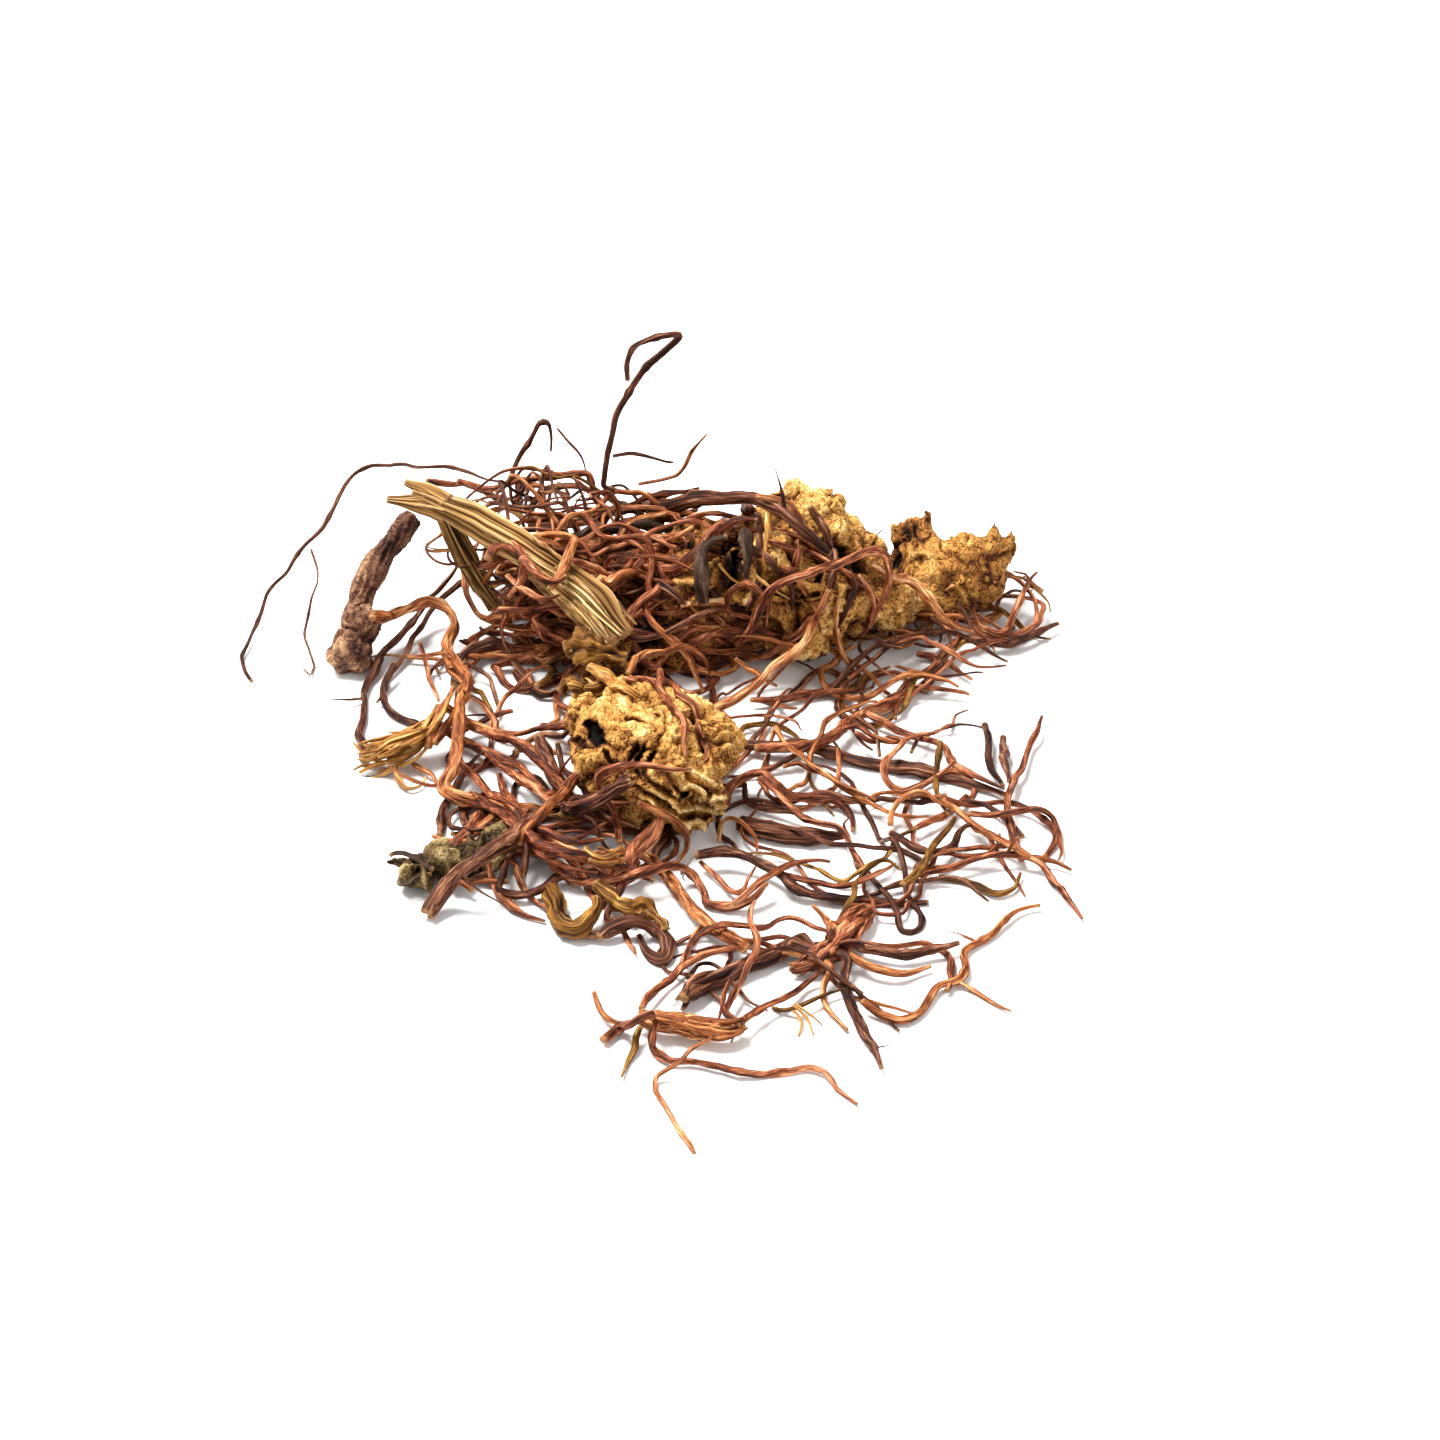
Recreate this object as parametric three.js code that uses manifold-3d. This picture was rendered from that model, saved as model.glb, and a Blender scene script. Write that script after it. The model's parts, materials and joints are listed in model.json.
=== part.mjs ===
// Dried aster root: a knobbly branched rhizome with a forked dry stem, a stout side root, a fibrous bud, small
// side knots and a springy tangle of thin rootlets. Millimetres, +Z up. The origin is the middle of the flat
// that the crown rests on.
import * as THREE from "three";
import { mergeVertices } from "three/addons/utils/BufferGeometryUtils.js";
import Module from "manifold-3d";

const wasm = await Module();
wasm.setup();

// Driving dimensions, in millimetres
const CROWN_HALF = [15, 11, 12.5];
const CROWN_LEFT_HALF = [10, 9, 11];
const FRONT_LOBE_HALF = [12, 12, 9.2];
const STEM_RADIUS = 2.5;
const STEM_PRONG_RADIUS = 1.2;
const STEM_LEG_RADIUS = 1.5;
const STOUT_ROOT_RADIUS = 1.5;
const HUB_HALF = [2.4, 2.1, 1.6];
const PIECE_GAP = 0.35;
const STRAND_GAP = 0.55;
const FLOOR_GAP = 0.04;
const ROOTLET_SIDES = 6;
const ROOTLET_FACET = 3;
const LIMB_SIDES = 9;
const LIMB_FACET = 4;
const KNOB_DETAIL = 1;

// Laying the strands: spacing of the points that are tested for touching, and how often they are moved
const BEAD_STEP = 0.8;
const SETTLE_ROUNDS = 150;
const SETTLE_FINISH = 25;
const DRAW_STEP = 0.2;
const DRAW_STEPS = 150;

// The view that the routes were drawn in: a camera looking down at the root from the front.
// Route points are [picture x, picture y, height in mm] in a square picture of 1440 units.
const PICTURE_CENTRE = 720;
const PICTURE_FOCAL = 3840;
const VIEW_DISTANCE = 550;
const VIEW_DOWN = THREE.MathUtils.degToRad(35);
const VIEW_AIM = new THREE.Vector3(-8, -20, 0);

const VIEW_FORWARD = new THREE.Vector3(0, Math.cos(VIEW_DOWN), -Math.sin(VIEW_DOWN));
const VIEW_UP = new THREE.Vector3(0, Math.sin(VIEW_DOWN), Math.cos(VIEW_DOWN));
const VIEW_EYE = VIEW_AIM.clone().addScaledVector(VIEW_FORWARD, -VIEW_DISTANCE);

// The place at a height that a picture point shows.
function seen([across, down, height]) {
  const ray = VIEW_FORWARD.clone().multiplyScalar(PICTURE_FOCAL);
  ray.addScaledVector(VIEW_UP, PICTURE_CENTRE - down);
  ray.x += across - PICTURE_CENTRE;
  return VIEW_EYE.clone().addScaledVector(ray, (height - VIEW_EYE.z) / ray.z);
}

// Knobs are [picture x, picture y, height, half-width in x, in y, in z].
const CROWN_KNOBS = [
  [826, 515, 20.5, 4.2, 4, 4.6],
  [788, 502, 22, 4, 4, 3.4],
  [845, 548, 15.5, 3.5, 3.5, 4],
  [780, 555, 19.4, 4.5, 3.4, 4.6],
  [730, 570, 16.4, 4, 3.4, 4.6],
  [800, 600, 13.6, 4.8, 3.2, 4.2],
  [868, 590, 10.4, 4.5, 4.5, 5.5],
  [890, 605, 6.5, 3, 3.4, 4.5],
  [800, 632, 8.4, 4.2, 3, 3.6],
  [690, 600, 11, 4.2, 3.4, 4.4],
];
const BACK_LOBE_KNOBS = [
  [902, 586, 6, 6, 5, 5.2],
  [912, 560, 8, 5.4, 5.4, 7],
  [925, 533, 12, 1.7, 1.7, 3.9],
  [942, 582, 6, 5, 5, 5.4],
  [970, 575, 6.5, 6.4, 6, 7],
  [994, 548, 11.2, 1.6, 1.6, 3.8],
  [1011, 550, 10.4, 1.4, 1.4, 3.4],
];
const NECK_KNOBS = [
  [655, 640, 6, 5.2, 4.6, 5.4],
  [626, 648, 6.4, 4.4, 4, 5],
  [600, 655, 7.4, 4.2, 4, 4.2],
  [598, 672, 7, 4, 4.6, 4.6],
  [605, 690, 7.4, 4.2, 5, 5],
  [624, 706, 8, 5, 6, 6],
];
const FRONT_LOBE_KNOBS = [
  [720, 745, 9, 3.4, 3.4, 4],
  [688, 795, 6.4, 5.6, 5, 5.5],
  [590, 722, 10, 4, 4, 4.5],
  [586, 700, 9.6, 2.8, 2.8, 3.8],
  [640, 706, 13.6, 6, 5, 4],
  [612, 772, 6, 5, 4.5, 5],
];
const FRONT_LOBE_HOLLOW = [700, 812, 6.4, 2.8, 2.6, 2.8];
const STOUT_ROOT_BASE = [
  [361, 626, 6, 2.7, 2.4, 3.2],
  [350, 650, 3.3, 3, 2.8, 3.4],
];
const BUD_KNOBS = [
  [384, 753, 2.4, 3.8, 2.8, 2.7],
  [404, 746, 3, 4.2, 3, 3.2],
  [424, 735, 4, 3.4, 2.5, 2.8],
  [438, 714, 5.2, 2, 2, 3],
];
const OFFSET_KNOBS = [
  [400, 862, 3, 2.6, 1, 1],
  [420, 872, 2.5, 3.4, 2.7, 2.6],
  [448, 864, 2.8, 4, 3, 2.9],
  [478, 852, 2.8, 4, 2.9, 2.9],
  [502, 842, 2.4, 2.8, 2.4, 2.5],
];
const FRONT_KNOT_KNOBS = [
  [655, 1020, 2.5, 3, 2.3, 2.6],
  [680, 1022, 2.4, 3.4, 2.3, 2.5],
  [705, 1028, 2.3, 3, 2.2, 2.4],
  [728, 1030, 2, 2.4, 1.9, 2.1],
];
const HUB_POINTS = [
  [860, 917, 1.7],
  [848, 928, 2.1],
  [836, 944, 2.2],
  [820, 956, 2.1],
  [803, 966, 1.7],
];

// Limbs are routes with one thickness.
const STEM_ROUTE = [
  [422, 497, 24.5], [450, 508, 23.5], [475, 520, 22], [515, 543, 19.6], [555, 570, 17], [595, 600, 14.5],
  [622, 632, 12],
];
const STEM_WIDE_ROUTE = [[530, 566, 17.6], [560, 588, 15.4], [590, 614, 13], [612, 640, 11]];
const STEM_PRONG_UPPER = [[440, 500, 24.6], [424, 490, 25.4], [408, 483, 26]];
const STEM_PRONG_LOWER = [[442, 508, 23.4], [418, 503, 24], [388, 500, 24.4]];
const STEM_LEG_ROUTE = [[442, 512, 22], [462, 550, 16.2], [480, 580, 11.6], [497, 607, 8]];
const STOUT_ROOT_ROUTE = [
  [414, 517, 19.6], [398, 536, 17.4], [384, 553, 15.4], [368, 580, 11.4], [357, 607, 8], [351, 640, 4.2],
];

// Rootlets are [name, look, radius in mm, route].
const ROOTLETS = [
  ["rootlet_left_arch", "red", 0.3, [
    [500, 481, 21], [475, 477, 21], [440, 467, 21], [421, 469, 20], [398, 465, 19], [370, 469, 17],
    [356, 475, 16], [340, 493, 13.5], [328, 518, 11], [302, 548, 8], [296, 563, 7], [272, 590, 4.5],
    [257, 615, 2.5], [245, 645, 1], [240, 662, 0.6], [252, 679, 0.5],
  ]],
  ["rootlet_tall_loop", "red", 0.45, [
    [650, 498, 18], [630, 496, 19], [608, 492, 21], [602, 483, 23], [607, 465, 26], [612, 440, 30],
    [615, 415, 33.5], [630, 390, 37], [645, 368, 40.5], [665, 352, 43], [686, 333, 46], [670, 336, 46],
    [650, 340, 45.5], [634, 346, 44.5], [626, 378, 39.5],
  ]],
  ["rootlet_back_upper", "red", 0.48, [
    [700, 489, 22], [655, 495, 20], [620, 507, 17], [590, 518, 14], [555, 525, 11], [525, 520, 11],
    [505, 503, 13], [470, 486, 16], [425, 484, 17],
  ]],
  ["rootlet_back_bent", "red", 0.5, [
    [455, 483, 17], [485, 487, 17], [515, 480, 19], [545, 477, 20], [566, 474, 20.5], [586, 475, 20.5],
    [592, 488, 18.5], [602, 503, 16], [606, 522, 13], [600, 540, 10],
  ]],
  ["rootlet_back_lower", "dark", 0.7, [
    [530, 526, 9.5], [560, 523, 11], [590, 520, 12], [620, 511, 14.5], [650, 508, 16], [690, 500, 19],
    [720, 494, 22],
  ]],
  ["rootlet_crown_s", "red", 0.65, [
    [575, 541, 14], [605, 548, 13.5], [630, 557, 13], [645, 566, 12.5], [665, 570, 12.5], [682, 565, 13.5],
    [698, 548, 16], [715, 531, 19], [740, 522, 21.5], [757, 523, 22.5],
  ]],
  ["rootlet_crown_low", "dark", 0.85, [
    [600, 566, 10], [625, 573, 9.5], [650, 578, 9], [672, 588, 8.5], [690, 600, 8],
  ]],
  ["rootlet_grey_hook", "grey", 1.2, [
    [724, 534, 20], [710, 541, 19], [702, 558, 17], [700, 580, 14], [703, 602, 11],
  ]],
  ["rootlet_grey_prong", "grey", 0.95, [[748, 528, 21], [748, 550, 18.5], [748, 578, 15.5]]],
  ["rootlet_crown_arch", "dark", 1, [
    [650, 512, 17], [680, 502, 20], [712, 496, 23], [745, 495, 25.5], [772, 505, 26], [795, 523, 24.5],
    [815, 545, 21.5], [830, 559, 19],
  ]],
  ["rootlet_crown_vine", "red", 0.62, [
    [733, 646, 5], [746, 634, 8], [756, 618, 11], [762, 602, 13.5], [772, 589, 15.5], [787, 577, 17],
    [803, 570, 17.5], [822, 567, 17.5], [845, 558, 18], [861, 550, 18.5], [875, 550, 18], [882, 563, 16],
    [881, 588, 11], [874, 612, 6.5], [868, 626, 4],
  ]],
  ["rootlet_neck_fork", "tan", 0.52, [
    [644, 602, 11], [650, 618, 9.5], [665, 635, 8], [681, 649, 7], [691, 662, 6], [697, 676, 5],
    [703, 693, 3.5],
  ]],
  ["rootlet_neck_bow", "tan", 0.5, [
    [626, 674, 12.6], [633, 662, 13], [648, 653, 12.6], [668, 649, 11], [690, 652, 8], [706, 662, 5.5],
    [713, 676, 3.4],
  ]],
  ["rootlet_side_ladder", "tan", 0.65, [
    [703, 722, 2.5], [720, 706, 4.5], [741, 695, 6], [756, 683, 7], [768, 671, 8], [790, 655, 9],
    [806, 639, 10], [813, 618, 11.5], [826, 590, 13.5],
  ]],
  ["rootlet_right_bridge", "tan", 0.65, [
    [868, 566, 14], [892, 576, 12.5], [915, 586, 11], [930, 603, 8.5], [945, 622, 5.5], [972, 634, 3.5],
  ]],
  ["rootlet_right_dark", "dark", 0.75, [
    [926, 690, 1], [936, 669, 1.5], [948, 649, 2], [968, 640, 2], [1000, 645, 1.5], [1030, 637, 1.5],
    [1062, 624, 1.5],
  ]],
  ["rootlet_left_kinked", "tan", 0.58, [
    [372, 616, 6], [385, 618, 6], [402, 613, 6.5], [420, 606, 7], [432, 603, 7], [446, 609, 6.5],
    [456, 617, 6], [450, 633, 5], [447, 650, 4.5], [456, 668, 4.5], [469, 682, 5.5], [463, 700, 6.5],
    [460, 725, 6.5], [458, 748, 5.5], [452, 770, 4], [445, 787, 2.8], [457, 798, 2.6], [480, 803, 2.6],
    [502, 810, 2.6], [522, 820, 2.8], [542, 834, 3.2], [562, 848, 3.2], [585, 856, 2.8], [612, 852, 3.4],
    [640, 852, 3], [660, 868, 2.2], [680, 893, 2], [700, 916, 1.8], [728, 934, 3], [748, 946, 4.2],
  ]],
  ["rootlet_left_long", "dark", 0.55, [
    [463, 560, 9], [450, 580, 7.5], [430, 600, 4.5], [410, 621, 3], [395, 641, 2], [380, 661, 1.5],
    [368, 681, 1], [363, 702, 0.8], [361, 725, 0.8], [363, 752, 0.8],
  ]],
  ["rootlet_tan_runner", "tan", 0.46, [
    [464, 562, 10], [468, 582, 9], [471, 601, 7.5], [479, 613, 6.5], [496, 622, 6], [520, 630, 5.8],
    [546, 632, 5.8], [566, 638, 5.6], [577, 645, 5.2],
  ]],
  ["rootlet_dark_fork", "dark", 0.8, [
    [456, 684, 1], [462, 664, 2], [472, 652, 2.5], [490, 646, 2.8], [503, 648, 2.6], [514, 664, 1.6],
    [526, 679, 0.9],
  ]],
  ["rootlet_bud_upper", "tan", 0.65, [[467, 722, 3.5], [500, 735, 3], [532, 747, 2.8], [560, 757, 2.4]]],
  ["rootlet_bud_lower", "red", 0.62, [
    [462, 741, 2], [490, 753, 1.6], [518, 768, 2], [535, 786, 2.2], [553, 799, 2.2], [562, 790, 3.5],
    [580, 775, 4.5],
  ]],
  ["rootlet_left_crossing", "dark", 0.6, [
    [484, 748, 3.2], [470, 766, 1.6], [456, 786, 0.7], [444, 808, 0.7], [438, 836, 0.7],
  ]],
  ["rootlet_stout_wrinkled", "dark", 0.92, [
    [428, 916, 1], [440, 900, 2], [450, 883, 4], [466, 868, 6.5], [490, 854, 7], [510, 841, 6],
    [526, 826, 4.5], [545, 818, 3], [565, 809, 2.8], [588, 802, 3], [610, 793, 3.6], [634, 778, 4],
  ]],
  ["rootlet_ochre_bend", "ochre", 1.1, [
    [557, 882, 1.2], [558, 902, 1.2], [562, 922, 1.2], [573, 935, 1.2], [586, 934, 1.4], [594, 918, 2],
    [597, 898, 2.6],
  ]],
  ["rootlet_front_loop", "red", 0.65, [
    [546, 861, 3.5], [560, 876, 1.2], [580, 883, 1.6], [606, 882, 3], [640, 873, 4.4], [668, 866, 4],
    [692, 871, 2], [702, 888, 1], [710, 904, 0.7], [730, 908, 0.7], [752, 900, 1.6], [768, 882, 2.6],
  ]],
  ["rootlet_dark_loop", "dark", 0.72, [
    [637, 935, 0.8], [645, 950, 0.8], [660, 964, 0.8], [671, 958, 0.8], [668, 941, 0.8], [658, 929, 1.4],
    [640, 922, 2.6], [615, 927, 1.6], [592, 939, 0.8],
  ]],
  ["rootlet_lobe_drape", "red", 0.52, [
    [690, 768, 9.5], [660, 769, 10], [625, 766, 8.5], [603, 773, 7], [598, 785, 6], [607, 801, 5.5],
    [616, 821, 4.5], [620, 846, 3.6],
  ]],
  ["rootlet_lobe_under", "tan", 0.5, [
    [634, 803, 2.5], [660, 815, 2.5], [679, 829, 2.2], [686, 846, 1.6], [678, 860, 1.2],
  ]],
  ["rootlet_dark_runner", "dark", 0.8, [
    [745, 742, 2], [790, 745, 2], [820, 750, 1.6], [850, 757, 1.2], [882, 764, 1], [920, 771, 1],
    [952, 777, 1], [985, 786, 1], [1004, 792, 1.4],
  ]],
  ["rootlet_bow_loop", "red", 0.62, [
    [717, 813, 1.2], [729, 792, 2.2], [745, 776, 3], [760, 773, 3.6], [776, 786, 3], [792, 793, 2.4],
    [815, 795, 2], [836, 801, 1.6], [848, 813, 1.2], [851, 829, 1],
  ]],
  ["rootlet_tan_bow", "tan", 0.38, [
    [780, 768, 3.4], [800, 765, 3.4], [820, 772, 3.4], [841, 786, 3], [862, 800, 2.4], [882, 812, 2],
    [906, 818, 2], [930, 815, 2.6],
  ]],
  ["rootlet_red_diagonal", "red", 0.44, [
    [762, 778, 5], [780, 796, 4], [795, 812, 3.2], [810, 824, 2.8], [835, 829, 2.6], [850, 846, 1.8],
    [862, 867, 1.2], [876, 886, 1],
  ]],
  ["rootlet_dark_stub", "dark", 1.15, [
    [742, 821, 1.2], [762, 830, 1.2], [790, 835, 1.2], [820, 838, 1.2], [846, 838, 1.2],
  ]],
  ["rootlet_front_dark", "dark", 0.72, [
    [697, 855, 2.6], [716, 850, 3], [740, 854, 3], [762, 863, 2.8], [782, 875, 2.4], [798, 890, 1.8],
    [830, 897, 1.4], [870, 896, 1.2], [905, 897, 1.2], [928, 897, 1.2],
  ]],
  ["rootlet_right_stalk", "dark", 0.6, [[985, 727, 1.4], [989, 750, 2], [992, 774, 2.4], [1001, 787, 2.6]]],
  ["rootlet_right_bend", "red", 0.5, [
    [1043, 716, 1.5], [1033, 740, 1.5], [1021, 765, 1.5], [1013, 786, 2], [1007, 806, 2.6], [1011, 824, 2],
    [1016, 843, 1.4], [1023, 860, 1],
  ]],
  ["rootlet_right_hook", "red", 0.4, [
    [857, 733, 3], [866, 742, 2.4], [886, 741, 2.6], [906, 737, 3.6], [894, 753, 3.4], [884, 769, 3.2],
    [894, 787, 1.6], [909, 791, 1.4], [930, 780, 2.4], [955, 763, 3.4],
  ]],
  ["rootlet_plum", "red", 0.5, [
    [913, 880, 1], [935, 872, 1.2], [957, 867, 1.6], [982, 858, 2], [1006, 853, 2.2], [1030, 855, 2.2],
    [1046, 871, 1.2], [1061, 891, 0.7], [1073, 908, 0.6], [1080, 919, 0.6],
  ]],
  ["rootlet_olive_bow", "ochre", 0.5, [
    [938, 877, 0.8], [960, 878, 0.8], [980, 886, 0.8], [995, 893, 0.8], [1010, 889, 0.8], [1021, 875, 0.8],
  ]],
  ["rootlet_dark_hook", "dark", 0.52, [
    [890, 831, 2.4], [906, 843, 2.2], [926, 855, 2], [946, 850, 2], [960, 836, 2], [975, 826, 2],
  ]],
  ["rootlet_ochre_stalk", "ochre", 0.56, [
    [955, 815, 4.2], [941, 834, 4], [929, 854, 4], [916, 874, 3], [901, 890, 2.2],
  ]],
  ["rootlet_front_sweep", "red", 0.42, [
    [654, 1032, 1.6], [652, 1046, 0.8], [660, 1060, 0.7], [690, 1062, 0.7], [720, 1070, 0.7],
    [750, 1075, 0.7], [780, 1070, 0.7], [806, 1067, 0.7], [823, 1073, 0.7], [839, 1089, 0.7],
    [856, 1104, 0.7],
  ]],
  ["rootlet_front_tail", "tan", 0.3, [
    [712, 1040, 2.6], [692, 1048, 2.4], [676, 1063, 2.2], [656, 1079, 0.8], [665, 1105, 0.5],
    [678, 1126, 0.5], [692, 1151, 0.5],
  ]],
  ["rootlet_front_left_arm", "red", 0.6, [[603, 1042, 0.8], [630, 1021, 1.4], [648, 1014, 2]]],
  ["rootlet_front_stick", "dark", 0.9, [
    [684, 1000, 2], [702, 985, 1.4], [731, 975, 1.2], [758, 963, 1.2], [780, 952, 1.2], [796, 944, 1.2],
  ]],
  ["rootlet_hub_right", "dark", 0.62, [
    [853, 942, 2], [872, 952, 1.4], [905, 958, 1.2], [930, 953, 1.2], [958, 946, 1.2],
  ]],
  ["rootlet_front_prop", "dark", 0.7, [
    [846, 957, 1.8], [844, 980, 1.4], [851, 1002, 1.2], [863, 1026, 1.2], [875, 1050, 1.2], [882, 1068, 1.2],
  ]],
  ["rootlet_front_orange", "tan", 0.42, [
    [830, 968, 2], [822, 985, 1.4], [824, 1002, 0.9], [836, 1020, 0.8], [848, 1030, 0.8],
  ]],
  ["rootlet_front_reach", "tan", 0.52, [
    [859, 1003, 1.5], [872, 1011, 0.9], [890, 1018, 0.9], [910, 1017, 0.9], [923, 1004, 0.9],
    [937, 987, 0.9], [956, 980, 0.9], [966, 967, 0.9], [967, 950, 1], [985, 938, 1], [1005, 922, 1],
    [1021, 911, 1], [1040, 906, 1],
  ]],
  ["rootlet_front_curve", "red", 0.4, [
    [828, 931, 3.4], [806, 921, 3.6], [786, 918, 4], [770, 927, 4.4], [735, 925, 3.8], [706, 930, 3.2],
    [690, 945, 2], [680, 966, 1.2], [662, 985, 1.4], [645, 1000, 2],
  ]],
  ["rootlet_front_plait", "red", 0.42, [
    [755, 902, 2.6], [752, 925, 5], [757, 945, 4.6], [746, 966, 3], [736, 989, 1.8], [726, 1011, 2.6],
  ]],
];

// Looks: colour and roughness of each kind of piece.
const LOOKS = {
  bark: [0xb88a3c, 0.85],
  stem: [0xa88848, 0.8],
  stout: [0x5a3834, 0.75],
  fibre: [0xc09048, 0.85],
  olive: [0x6e5f3c, 0.85],
  red: [0x8a5238, 0.7],
  tan: [0xb07848, 0.7],
  dark: [0x4a2c26, 0.7],
  ochre: [0xa9782f, 0.75],
  grey: [0x6e5a50, 0.75],
};

function solid(geometry) {
  geometry.deleteAttribute("normal");
  geometry.deleteAttribute("uv");
  const merged = mergeVertices(geometry, 1e-4);
  return new wasm.Manifold(new wasm.Mesh({
    numProp: 3,
    vertProperties: new Float32Array(merged.attributes.position.array),
    triVerts: new Uint32Array(merged.index.array),
  }));
}

function meshOf(manifold) {
  const mesh = manifold.getMesh();
  const geometry = new THREE.BufferGeometry();
  geometry.setAttribute("position", new THREE.BufferAttribute(mesh.vertProperties, 3));
  geometry.setIndex(new THREE.BufferAttribute(mesh.triVerts, 1));
  geometry.computeVertexNormals();
  return geometry;
}

// A knob with a centre and three half-widths; a grown one stands off by that much all round.
function knobSolid(knob, grow) {
  const geometry = new THREE.IcosahedronGeometry(1, KNOB_DETAIL);
  geometry.scale(knob.half[0] + grow, knob.half[1] + grow, knob.half[2] + grow);
  geometry.translate(knob.centre.x, knob.centre.y, knob.centre.z);
  return solid(geometry);
}

function knobsSeen(rows) {
  return rows.map(([across, down, height, ...half]) => ({ centre: seen([across, down, height]), half }));
}

function tubeGeometry(points, radius, sides, facet) {
  const curve = new THREE.CatmullRomCurve3(points, false, "centripetal");
  const outline = [];
  for (let side = 0; side < sides; side += 1) {
    const angle = (2 * Math.PI * side) / sides;
    outline.push(new THREE.Vector2(radius * Math.cos(angle), radius * Math.sin(angle)));
  }
  return new THREE.ExtrudeGeometry(new THREE.Shape(outline), {
    extrudePath: curve,
    steps: Math.max(2, Math.round(curve.getLength() / facet)),
    bevelEnabled: false,
  });
}

function limbSolid(route, radius) {
  return solid(tubeGeometry(route.map(seen), radius, LIMB_SIDES, LIMB_FACET));
}

function joined(solids) {
  return solids.reduce((whole, next) => whole.add(next));
}

// Everything under the table top is cut away.
function standing(manifold) {
  const below = new THREE.BoxGeometry(400, 400, 40);
  below.translate(0, 0, -20);
  return manifold.subtract(solid(below));
}

const rhizomeKnobs = [
  { centre: new THREE.Vector3(3, 1, 11), half: CROWN_HALF },
  { centre: new THREE.Vector3(-10, 1, 10), half: CROWN_LEFT_HALF },
  { centre: new THREE.Vector3(-17.5, -40, 8.5), half: FRONT_LOBE_HALF },
  ...knobsSeen([...CROWN_KNOBS, ...BACK_LOBE_KNOBS, ...NECK_KNOBS, ...FRONT_LOBE_KNOBS]),
];

function rhizomeSolid(grow) {
  return joined(rhizomeKnobs.map((knob) => knobSolid(knob, grow)));
}

function makeRhizome() {
  const [hollow] = knobsSeen([FRONT_LOBE_HOLLOW]);
  return standing(rhizomeSolid(0).subtract(knobSolid(hollow, 0)));
}

function makeStem() {
  const whole = joined([
    limbSolid(STEM_ROUTE, STEM_RADIUS),
    limbSolid(STEM_WIDE_ROUTE, STEM_RADIUS),
    limbSolid(STEM_PRONG_UPPER, STEM_PRONG_RADIUS),
    limbSolid(STEM_PRONG_LOWER, STEM_PRONG_RADIUS),
    limbSolid(STEM_LEG_ROUTE, STEM_LEG_RADIUS),
  ]);
  return whole.subtract(rhizomeSolid(PIECE_GAP));
}

const stoutKnobs = knobsSeen(STOUT_ROOT_BASE);
const budKnobs = knobsSeen(BUD_KNOBS);
const offsetKnobs = knobsSeen(OFFSET_KNOBS);
const frontKnotKnobs = knobsSeen(FRONT_KNOT_KNOBS);
const hubKnobs = knobsSeen(HUB_POINTS.map((point) => [...point, ...HUB_HALF]));

function makeStoutRoot() {
  const base = stoutKnobs.map((knob) => knobSolid(knob, 0));
  return standing(joined([limbSolid(STOUT_ROOT_ROUTE, STOUT_ROOT_RADIUS), ...base]));
}

function makeKnobbly(knobs) {
  return standing(joined(knobs.map((knob) => knobSolid(knob, 0))));
}

// The limbs as rows of balls, for keeping the rootlets off them.
function ballsAlong(route, radius) {
  const curve = new THREE.CatmullRomCurve3(route.map(seen), false, "centripetal");
  const count = Math.ceil(curve.getLength());
  return curve.getSpacedPoints(count).map((centre) => ({ centre, half: [radius, radius, radius] }));
}

const obstacles = [
  ...rhizomeKnobs,
  ...stoutKnobs,
  ...budKnobs,
  ...offsetKnobs,
  ...frontKnotKnobs,
  ...hubKnobs,
  ...ballsAlong(STEM_ROUTE, STEM_RADIUS),
  ...ballsAlong(STEM_WIDE_ROUTE, STEM_RADIUS),
  ...ballsAlong(STEM_PRONG_UPPER, STEM_PRONG_RADIUS),
  ...ballsAlong(STEM_PRONG_LOWER, STEM_PRONG_RADIUS),
  ...ballsAlong(STEM_LEG_ROUTE, STEM_LEG_RADIUS),
  ...ballsAlong(STOUT_ROOT_ROUTE, STOUT_ROOT_RADIUS),
];

// How deep a point is in an obstacle grown by a margin: under 1 is inside.
function depthIn(obstacle, point, margin) {
  const across = (point.x - obstacle.centre.x) / (obstacle.half[0] + margin);
  const away = (point.y - obstacle.centre.y) / (obstacle.half[1] + margin);
  const height = (point.z - obstacle.centre.z) / (obstacle.half[2] + margin);
  return Math.sqrt(across * across + away * away + height * height);
}

// A point of a route that falls inside a lump is drawn out towards the viewer, so it lies on the lump where it
// is seen.
function drawnOut(point, margin) {
  const towards = VIEW_EYE.clone().sub(point).normalize();
  for (let step = 0; step < DRAW_STEPS; step += 1) {
    if (!obstacles.some((obstacle) => depthIn(obstacle, point, margin) < 1)) {
      break;
    }
    point.addScaledVector(towards, DRAW_STEP);
  }
  return point;
}

// A strand is a row of beads along its route.
function makeStrand([name, look, radius, route]) {
  const curve = new THREE.CatmullRomCurve3(route.map(seen), false, "centripetal");
  const count = Math.ceil(curve.getLength() / BEAD_STEP);
  const homes = curve.getSpacedPoints(count).map((point) => drawnOut(point, radius + STRAND_GAP));
  const beads = homes.map((home, place) => ({ home, at: home.clone(), along: new THREE.Vector3(), place, radius }));
  return { name, look, radius, beads };
}

function liftOut(bead) {
  const margin = bead.radius + STRAND_GAP;
  for (const obstacle of obstacles) {
    const depth = depthIn(obstacle, bead.at, margin);
    if (depth < 1) {
      bead.at.sub(obstacle.centre).multiplyScalar(1 / Math.max(depth, 0.2)).add(obstacle.centre);
    }
  }
  bead.at.z = Math.max(bead.at.z, bead.radius + FLOOR_GAP);
}

const apart = new THREE.Vector3();
const across = new THREE.Vector3();

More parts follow.
